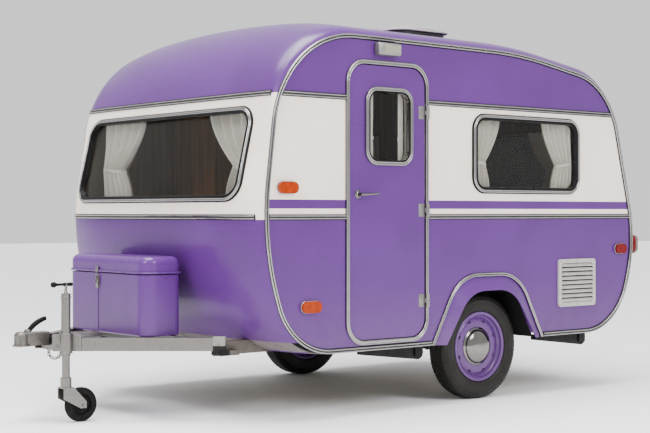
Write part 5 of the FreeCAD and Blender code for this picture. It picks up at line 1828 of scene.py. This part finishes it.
@dataclass
class JockeyWheel:
    """The jockey wheel: clamp bolts, collars, ball-ended crank and a ribbed rubber tyre."""

    along: float = 0.870
    clamp_face: float = 0.0325
    clamp_margin: float = 0.032
    clamp_bolts: Pair = (-0.058, 0.058)
    bolt_radius: float = 0.0085
    bolt_height: float = 0.006
    crank_radius: float = 0.008
    clamp_collar: float = 0.034
    sleeve_collar: float = 0.0265
    collar_drop: float = 0.020
    collar_wire: float = 0.0035
    collar_steps: int = 40
    fork_half: float = 0.036
    # The neck's outline, up and out, and the cross bar's with its ball, along and out.
    neck: tuple[Pair, ...] = (
        (0.0, 0.0), (0.0, 0.012), (0.006, 0.011), (0.012, 0.0075), (0.032, 0.007), (0.038, 0.010),
        (0.056, 0.010), (0.059, 0.0),
    )
    bar: tuple[Pair, ...] = (
        (-0.0915, 0.004), (-0.090, 0.010), (-0.085, 0.0145), (-0.076, 0.016), (-0.067, 0.0145),
        (-0.061, 0.010), (-0.055, 0.0078), (-0.020, 0.0076), (-0.008, 0.0100), (0.008, 0.0100),
        (0.013, 0.0085), (0.018, 0.0105), (0.034, 0.0108), (0.039, 0.0085), (0.040, 0.0050),
    )
    bore: float = 0.0062
    # The disc's and the sidewall's outline: shares of the half width, and radii.
    wheel_side: tuple[Pair, ...] = (
        (0.55, 0.012), (0.55, 0.018), (0.30, 0.022), (0.30, 0.052), (0.80, 0.058), (0.92, 0.064),
        (1.0, 0.072), (0.97, 0.082), (0.8, 0.090),
    )
    # The tread's outline: shares of the half width, and drops from the full radius.
    wheel_tread: tuple[Pair, ...] = (
        (0.6, 0.0015), (0.45, 0.0), (0.35, 0.003), (0.25, 0.0), (0.1, 0.0), (0.05, 0.003),
    )

    def build(self) -> None:
        """Dress the tubes and build the crank, bolts, collars and wheel."""
        dress(Paint.ZINC, "jockey_clamp", "jockey_sleeve", "jockey_stem", "jockey_fork")
        sleeve_low, sleeve_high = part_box("jockey_sleeve")
        middle = (sleeve_low + sleeve_high) / 2
        self.make_crank(middle)
        self.make_wheel()
        self.bolt_clamp()
        self.make_collars(middle, sleeve_high.z - self.collar_drop)
        wheel_low, wheel_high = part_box("jockey_wheel")
        hub = (wheel_low + wheel_high) / 2
        ends = []
        for facing in (-1, 1):
            place = Vector((middle.x + facing * self.fork_half, hub.y, hub.z))
            ends.append(Mark(place, Vector((facing, 0, 0))))
        bolts("jockey_axle_nuts", ends, self.bolt_radius, self.bolt_height, Paint.ZINC, "jockey_fork")

    def bolt_clamp(self) -> None:
        """Set the four bolts of the clamp on the rail's outer face."""
        gear = DrawbarGear()
        low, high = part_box("jockey_clamp")
        marks = []
        for offset in self.clamp_bolts:
            for z in (low.z + self.clamp_margin, high.z - self.clamp_margin):
                marks.append(Mark(gear.point(self.along + offset, self.clamp_face, z), gear.outward))
        bolts("clamp_bolts", marks, self.bolt_radius, self.bolt_height, Paint.ZINC)

    def make_collars(self, middle: Vector, top: float) -> None:
        """Roll a collar at each end of the clamp and one near the top of the sleeve.

        Args:
            middle: The sleeve's middle.
            top: The height of the sleeve's collar.
        """
        low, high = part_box("jockey_clamp")
        places = (
            (low.z + self.collar_wire, self.clamp_collar), (high.z - self.collar_wire, self.clamp_collar),
            (top, self.sleeve_collar),
        )
        rings = []
        for z, reach in places:
            ring = []
            for step in range(self.collar_steps):
                angle = 2 * math.pi * step / self.collar_steps
                ring.append((middle.x + reach * math.cos(angle), middle.y + reach * math.sin(angle), z))
            rings.append((ring, True))
        beads("jockey_collars", rings, self.collar_wire, Paint.ZINC)

    def make_crank(self, middle: Vector) -> None:
        """Make the crank: a neck, and a black cross bar with a ball grip.

        Args:
            middle: The sleeve's middle.
        """
        low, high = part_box("jockey_crank")
        foot = Vector((middle.x, middle.y, low.z))
        stalk = revolved("crank_neck", list(self.neck), foot, Vector((0, 0, 1)), 32, Paint.ZINC, "root")
        path = [Vector((middle.x, middle.y + along, high.z - 2 * self.crank_radius)) for along, _ in self.bar]
        bar = tube("crank_bar", path, [radius for _, radius in self.bar], Paint.RUBBER, "root", 24)
        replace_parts(stalk, "jockey_crank")
        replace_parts(bar, "jockey_crank")

    def make_wheel(self) -> None:
        """Make the small wheel with a ribbed tyre and a recessed disc."""
        low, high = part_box("jockey_wheel")
        radius = (high.z - low.z) / 2
        half = (high.x - low.x) / 2
        outline = [(half * share, out) for share, out in self.wheel_side]
        outline += [(half * share, radius - drop) for share, drop in self.wheel_tread]
        mirror = [(-across, out) for across, out in reversed(outline)]
        edge = half * self.wheel_side[0][0]
        profile = outline + mirror + [(-edge, self.bore), (edge, self.bore)]
        wheel = revolved("ribbed_jockey_tyre", profile, (low + high) / 2, Vector((1, 0, 0)), 72, Paint.RUBBER,
                         "jockey_wheel", 30.0)
        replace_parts(wheel, "jockey_wheel")


@dataclass
class GasLocker:
    """The gas locker: painted box, lid lip, front rib, hasp and over-centre latch."""

    half_width: float = 0.430
    rear_reach: float = 1.893
    depth: float = 0.248
    front_corner: float = 0.078
    rear_corner: float = 0.046
    lip: float = 0.007
    lip_rise: float = 0.010
    lip_radius: float = 0.0044
    rib_radius: float = 0.0045
    rib_foot: float = 0.012
    # The hasp's width, thickness and top over the joint, its foot over it, and its edges' radius.
    hasp: Point = (0.024, 0.0135, 0.036)
    hasp_foot: float = 0.002
    hasp_edge: float = 0.003
    # How far the hasp and the latch reach into the locker's front.
    sink: float = 0.001
    # Half width, front, foot over the latch's foot, top under the latch's top, and edges' radius.
    plate: tuple[float, ...] = (0.016, 0.004, 0.0, 0.016, 0.0015)
    pull: tuple[float, ...] = (0.011, 0.0125, 0.006, 0.034, 0.0035)
    pull_back: float = 0.003
    # The same for the hook's wire, whose last size is its corners' radius.
    hook: tuple[float, ...] = (0.013, 0.0095, 0.030, 0.003, 0.010)
    hook_radius: float = 0.003

    def plan_loop(self, z: float, grow: float) -> Line:
        """Draw a level loop round the locker's plan.

        Args:
            z: The loop's height.
            grow: How far it lies outside the locker.

        Returns:
            The closed loop.
        """
        rear = AXLE_Y - self.rear_reach
        front = rear - self.depth
        wide = self.half_width + grow
        fore = self.front_corner + grow
        aft = self.rear_corner + grow
        corners = [(-wide, front - grow, fore), (wide, front - grow, fore), (wide, rear + grow, aft),
                   (-wide, rear + grow, aft)]
        return [(x, y, z) for x, y in filleted(corners, 12)], True

    def build(self) -> None:
        """Dress the locker and add its lip, rib, hasp and latch."""
        dress(Paint.PURPLE_ENAMEL, "locker_body", "locker_lid")
        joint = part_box("locker_lid")[0].z
        lip = self.plan_loop(joint + self.lip_rise, self.lip)
        beads("lid_lip", [lip], self.lip_radius, Paint.PURPLE_ENAMEL, "locker_lid")
        rim = self.plan_loop(joint - self.lip_radius, 0.0)
        beads("body_rim", [rim], self.lip_radius / 2, Paint.PURPLE_ENAMEL)
        low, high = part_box("locker_latch")
        front = AXLE_Y - self.rear_reach - self.depth
        middle = (low.x + high.x) / 2
        line = [(middle, front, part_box("locker_body")[0].z + self.rib_foot), (middle, front, low.z)]
        beads("front_rib", [(line, False)], self.rib_radius, Paint.PURPLE_ENAMEL)
        self.make_latch(middle, front, low.z, high.z)
        wide, thick, tall = self.hasp
        bevelled("lid_hasp", (middle - wide / 2, front - thick, joint + self.hasp_foot),
                 (middle + wide / 2, front + self.sink, joint + tall), self.hasp_edge, Paint.CAST_ZINC,
                 "locker_lid")

    def make_latch(self, x: float, y: float, base: float, top: float) -> None:
        """Make the over-centre latch: base plate, pull and hook.

        Args:
            x: The middle of the latch.
            y: The locker's front face.
            base: The foot of the latch.
            top: The top of its hook.
        """
        half, front, foot, drop, edge = self.plate
        plate = bevelled("latch_plate", (x - half, y - front, base + foot),
                         (x + half, y + self.sink, top - drop), edge, Paint.CAST_ZINC, "root")
        half, front, foot, drop, edge = self.pull
        pull = bevelled("latch_pull", (x - half, y - front, base + foot),
                        (x + half, y - self.pull_back, top - drop), edge, Paint.CHROME, "root")
        half, front, foot, drop, corner = self.hook
        flat = round_loop((x - half, x + half), (base + foot, top - drop), corner, 0.0, 5)
        loop = [(u, y - front, z) for u, z in flat]
        hook = beads("latch_hook", [(loop, True)], self.hook_radius, Paint.CHROME, "root", 8)
        for piece in (plate, pull, hook):
            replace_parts(piece, "locker_latch")


@dataclass
class Curtain:
    """One gathered curtain, tied back towards its end of the window.

    The cloth keeps its full width at every height: where it is drawn
    together, its pleats are deeper or closer.
    """

    name: str
    start: Vector
    inward: Vector
    depth: Vector
    top_width: float
    drop: float
    body: str
    rests_on: str
    fullness: float = 1.7
    pleats: int = 5
    tie_at: float = 0.62
    tie_width: float = 0.50
    foot_width: float = 0.66
    gather_power: float = 1.6
    columns: int = 132
    rows: int = 40
    thickness: float = 0.0008
    # The deepest pleat tried, how often the span of depths is halved, and the steps along one pleat.
    deepest: float = 0.05
    halvings: int = 24
    pleat_steps: int = 24
    # The band's outline out and up, its slack round the pleats, its slope and its steps.
    band: tuple[Pair, ...] = ((1.0, -0.011), (1.06, -0.010), (1.06, 0.010), (1.0, 0.011))
    band_slack: Pair = (0.003, 0.002)
    band_slope: float = -0.012
    band_steps: int = 40

    @property
    def cloth(self) -> float:
        """Give the width that the cloth was cut to."""
        return self.top_width * self.fullness

    def width_at(self, down: float) -> float:
        """Give the gathered width at one height, as a share of the top width.

        Args:
            down: How far down the drop it is, as a share.

        Returns:
            The width's share.
        """
        if down < self.tie_at:
            share = down / self.tie_at
            return 1 - (1 - self.tie_width) * share ** self.gather_power
        share = (down - self.tie_at) / (1 - self.tie_at)
        return self.tie_width + (self.foot_width - self.tie_width) * math.sin(share * math.pi / 2)

    def pleat_depth(self, width: float) -> float:
        """Find the depth of the pleats that takes up the cloth's full width.

        Args:
            width: The gathered width.

        Returns:
            The depth.
        """
        low, high = 0.0, self.deepest
        for _ in range(self.halvings):
            middle = (low + high) / 2
            length = 0.0
            for step in range(self.pleat_steps):
                turn = math.cos(2 * math.pi * (step + 0.5) / self.pleat_steps)
                slope = middle * 2 * math.pi * self.pleats / width * turn
                length += math.hypot(1, slope) * width / self.pleat_steps
            if length < self.cloth:
                low = middle
            else:
                high = middle
        return low

    def cloth_points(self) -> list[Vector]:
        """Give the cloth's points row by row, with pleats that sway a little, each in its own way.

        Returns:
            The points.
        """
        points = []
        rng = np.random.default_rng(len(self.name))
        sway = rng.uniform(-0.6, 0.6, self.pleats + 2)
        for row in range(self.rows + 1):
            down = row / self.rows
            width = self.top_width * self.width_at(down)
            deep = self.pleat_depth(width)
            for column in range(self.columns + 1):
                share = column / self.columns
                spot = share * self.pleats
                drift = float(np.interp(spot, range(self.pleats + 2), sway)) * math.sin(math.pi * share)
                wave = math.sin(2 * math.pi * spot + drift * (0.5 + down))
                place = self.start + self.inward * (share * width) + self.depth * (wave * deep)
                points.append(place - Vector((0, 0, self.drop * down)))
        return points

    def build(self) -> Piece:
        """Make the cloth and its tie.

        Returns:
            The cloth.
        """
        faces = []
        wide = self.columns + 1
        for row in range(self.rows):
            for column in range(self.columns):
                first = row * wide + column
                faces.append((first, first + 1, first + wide + 1, first + wide))
        mesh = bpy.data.meshes.new(self.name)
        mesh.from_pydata([tuple(point) for point in self.cloth_points()], [], faces)
        layer = mesh.uv_layers.new(name="cloth")
        for loop in mesh.loops:
            row, column = divmod(loop.vertex_index, wide)
            layer.data[loop.index].uv = (self.cloth * column / self.columns, self.drop * row / self.rows)
        mesh.materials.append(Paint.COTTON.material())
        mesh.shade_smooth()
        piece = new_piece(self.name, mesh)
        thick = piece.modifiers.new("thickness", "SOLIDIFY")
        thick.thickness = self.thickness
        thick.offset = 0.0
        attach(piece, self.body)
        tie = self.make_tie()
        return piece

    def make_tie(self) -> Piece:
        """Make the cloth band round the gathered curtain.

        Returns:
            The band.
        """
        width = self.top_width * self.tie_width
        slack, room = self.band_slack
        reach = width / 2 + slack
        deep = self.pleat_depth(width) + room
        centre = self.start + self.inward * (width / 2) - Vector((0, 0, self.drop * self.tie_at))
        rings = []
        for turn in range(self.band_steps):
            angle = 2 * math.pi * turn / self.band_steps
            spoke = self.inward * (math.cos(angle) * reach) + self.depth * (math.sin(angle) * deep)
            tilt = self.band_slope * math.cos(angle)
            rings.append([centre + spoke * swell + Vector((0, 0, rise + tilt)) for swell, rise in self.band])
        points, faces = ring_mesh(rings)
        tie = shaped(self.name + "_tie", points, faces, Paint.COTTON, self.body, degrees=50.0)
        layer = tie.data.uv_layers.new(name="cloth")
        for loop in tie.data.loops:
            place = tie.data.vertices[loop.vertex_index].co
            layer.data[loop.index].uv = (place.x + place.y, place.z)
        return tie


@dataclass
class CabinFittings:
    """Cabinets, curtain rods and the ten curtains."""

    share: float = 0.29
    drop_margin: float = 0.012
    heading: float = 0.005
    rod_inset: float = 0.054
    front_rod: float = -1.630
    rear_rod: float = 1.170
    door_shares: Pair = (0.26, 0.13)
    door_inset: float = 0.008
    door_rod_drop: float = 0.002

    def hang(self, name: str, start: Vector, inward: Vector, depth: Vector, size: Pair) -> None:
        """Hang one curtain beside a window of the walls.

        Args:
            name: The end of its name.
            start: Its top outer corner.
            inward: The way to the window's middle.
            depth: The way that its pleats swing.
            size: The window's width and height.
        """
        width, height = size
        cloth = Curtain("curtain_" + name, start, inward, depth, width * self.share,
                        height + self.drop_margin, "root", "curtain_rods")
        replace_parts(cloth.build(), "curtains")

    def build(self) -> None:
        """Dress the cabinets and hang the curtains."""
        dress(Paint.VENEER, "furniture")
        dress(Paint.CHROME, "curtain_rods")
        glazing = Glazing()
        across = Vector((1, 0, 0))
        along = Vector((0, 1, 0))
        ends = (("front", glazing.front_size, self.front_rod), ("rear", glazing.rear_size, self.rear_rod))
        for title, (width, sill, height, _), rod in ends:
            for side, sign in SIDES:
                start = Vector((sign * width / 2, AXLE_Y + rod, sill + height + self.heading))
                self.hang(f"{title}_{side}", start, across * -sign, along, (width, height))
        span = glazing.side_span
        base, top = glazing.side_rise
        for side, sign in SIDES:
            for title, end, way in (("fore", span[0], 1), ("aft", span[1], -1)):
                start = Vector((sign * (HALF_BODY - self.rod_inset), AXLE_Y + end, top + self.heading))
                self.hang(f"{side}_{title}", start, along * way, across, (span[1] - span[0], top - base))
        self.hang_door_curtains(along, across)

    def hang_door_curtains(self, along: Vector, across: Vector) -> None:
        """Hang the two narrow curtains on the door, which ride with it.

        Args:
            along: The way to the tail.
            across: The way to the door side.
        """
        low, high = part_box("door_curtains")
        fore, aft = self.door_shares
        for title, y, way, share in (("fore", low.y, 1, fore), ("aft", high.y, -1, aft)):
            start = Vector((high.x - self.door_inset, y, high.z - self.door_rod_drop))
            cloth = Curtain(f"curtain_door_{title}", start, along * way, across, (high.y - low.y) * share,
                            high.z - low.z - 2 * self.door_rod_drop, "door", "door_window_frame", pleats=4,
                            tie_width=0.96, foot_width=1.0, fullness=1.3, columns=72)
            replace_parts(cloth.build(), "door_curtains")


@dataclass
class Studio:
    """Pale floor, soft light and the photograph's camera."""

    camera_place: Point = (7.073, -5.7325, 1.163)
    azimuth: float = 50.45
    lens: float = 77.9
    horizon_shift: float = -0.0069
    floor_half: float = 40.0
    air: float = 1.05
    sun_power: float = 3.0
    sun_spread: float = 40.0
    sensor_width: float = 36.0
    aim: Point = (0.0, 0.0, 1.0)
    panels: tuple[tuple[str, Point, float, float], ...] = (
        ("side_panel", (7.0, 0.5, 5.0), 3.0, 400),
        ("nose_panel", (2.5, -7.5, 5.5), 3.0, 440),
        ("sky_panel", (0.0, -1.5, 6.5), 3.5, 420),
    )

    def build(self) -> None:
        """Lay the floor, hang the lights and set the camera."""
        mesh = bpy.data.meshes.new("studio_floor")
        half = self.floor_half
        corners = [(-half, -half, 0), (half, -half, 0), (half, half, 0), (-half, half, 0)]
        mesh.from_pydata(corners, [], [(0, 1, 2, 3)])
        floor = new_piece("studio_floor", mesh)
        paper = Finish("studio_paper", "#f7f7f7", "#f4f4f4", 900, 20, 0.01, (0.7, 0.8))
        mesh.materials.append(paper.build())
        world = bpy.data.worlds.new("studio_air")
        world.use_nodes = True
        air = world.node_tree.nodes["Background"]
        air.inputs["Color"].default_value = linear("#ffffff")
        air.inputs["Strength"].default_value = self.air
        bpy.context.scene.world = world
        for name, place, size, power in self.panels:
            self.light(name, place, size, power)
        lamp = bpy.data.lights.new("overhead_sun", "SUN")
        lamp.energy = self.sun_power
        lamp.angle = math.radians(self.sun_spread)
        bpy.context.scene.collection.objects.link(bpy.data.objects.new("overhead_sun", lamp))
        view = bpy.data.cameras.new("photo_camera")
        view.lens = self.lens
        view.sensor_width = self.sensor_width
        view.shift_y = self.horizon_shift
        camera = bpy.data.objects.new("photo_camera", view)
        camera.location = self.camera_place
        camera.rotation_euler = (math.pi / 2, 0.0, math.radians(self.azimuth))
        bpy.context.scene.collection.objects.link(camera)
        bpy.context.scene.camera = camera

    def light(self, name: str, place: Point, size: float, power: float) -> None:
        """Hang one soft panel that faces the caravan.

        Args:
            name: The panel's name.
            place: Where it hangs.
            size: The length of its sides.
            power: Its power in watts.
        """
        lamp = bpy.data.lights.new(name, "AREA")
        lamp.size = size
        lamp.energy = power
        panel = bpy.data.objects.new(name, lamp)
        panel.location = place
        panel.rotation_euler = (Vector(self.aim) - Vector(place)).to_track_quat("-Z", "Y").to_euler()
        bpy.context.scene.collection.objects.link(panel)


def main() -> None:
    """Build every sub-assembly and report it."""
    logging.basicConfig(level=logging.INFO, format="%(name)s: %(message)s")
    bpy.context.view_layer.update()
    assemblies = [BodyPanels(), BrightTrim(), Glazing(), EntryDoor(), Lamps(), VentGrille(), RoofVent()]
    assemblies += [RoadWheel(side, sign) for side, sign in SIDES]
    assemblies += [Underframe(), DrawbarGear(), JockeyWheel(), GasLocker(), CabinFittings(), Studio()]
    for assembly in assemblies:
        before = set(bpy.data.objects)
        assembly.build()
        made = sorted(piece.name for piece in set(bpy.data.objects) - before)
        LOG.info("%s: %s", type(assembly).__name__, ", ".join(made))


if __name__ == "__main__":
    main()
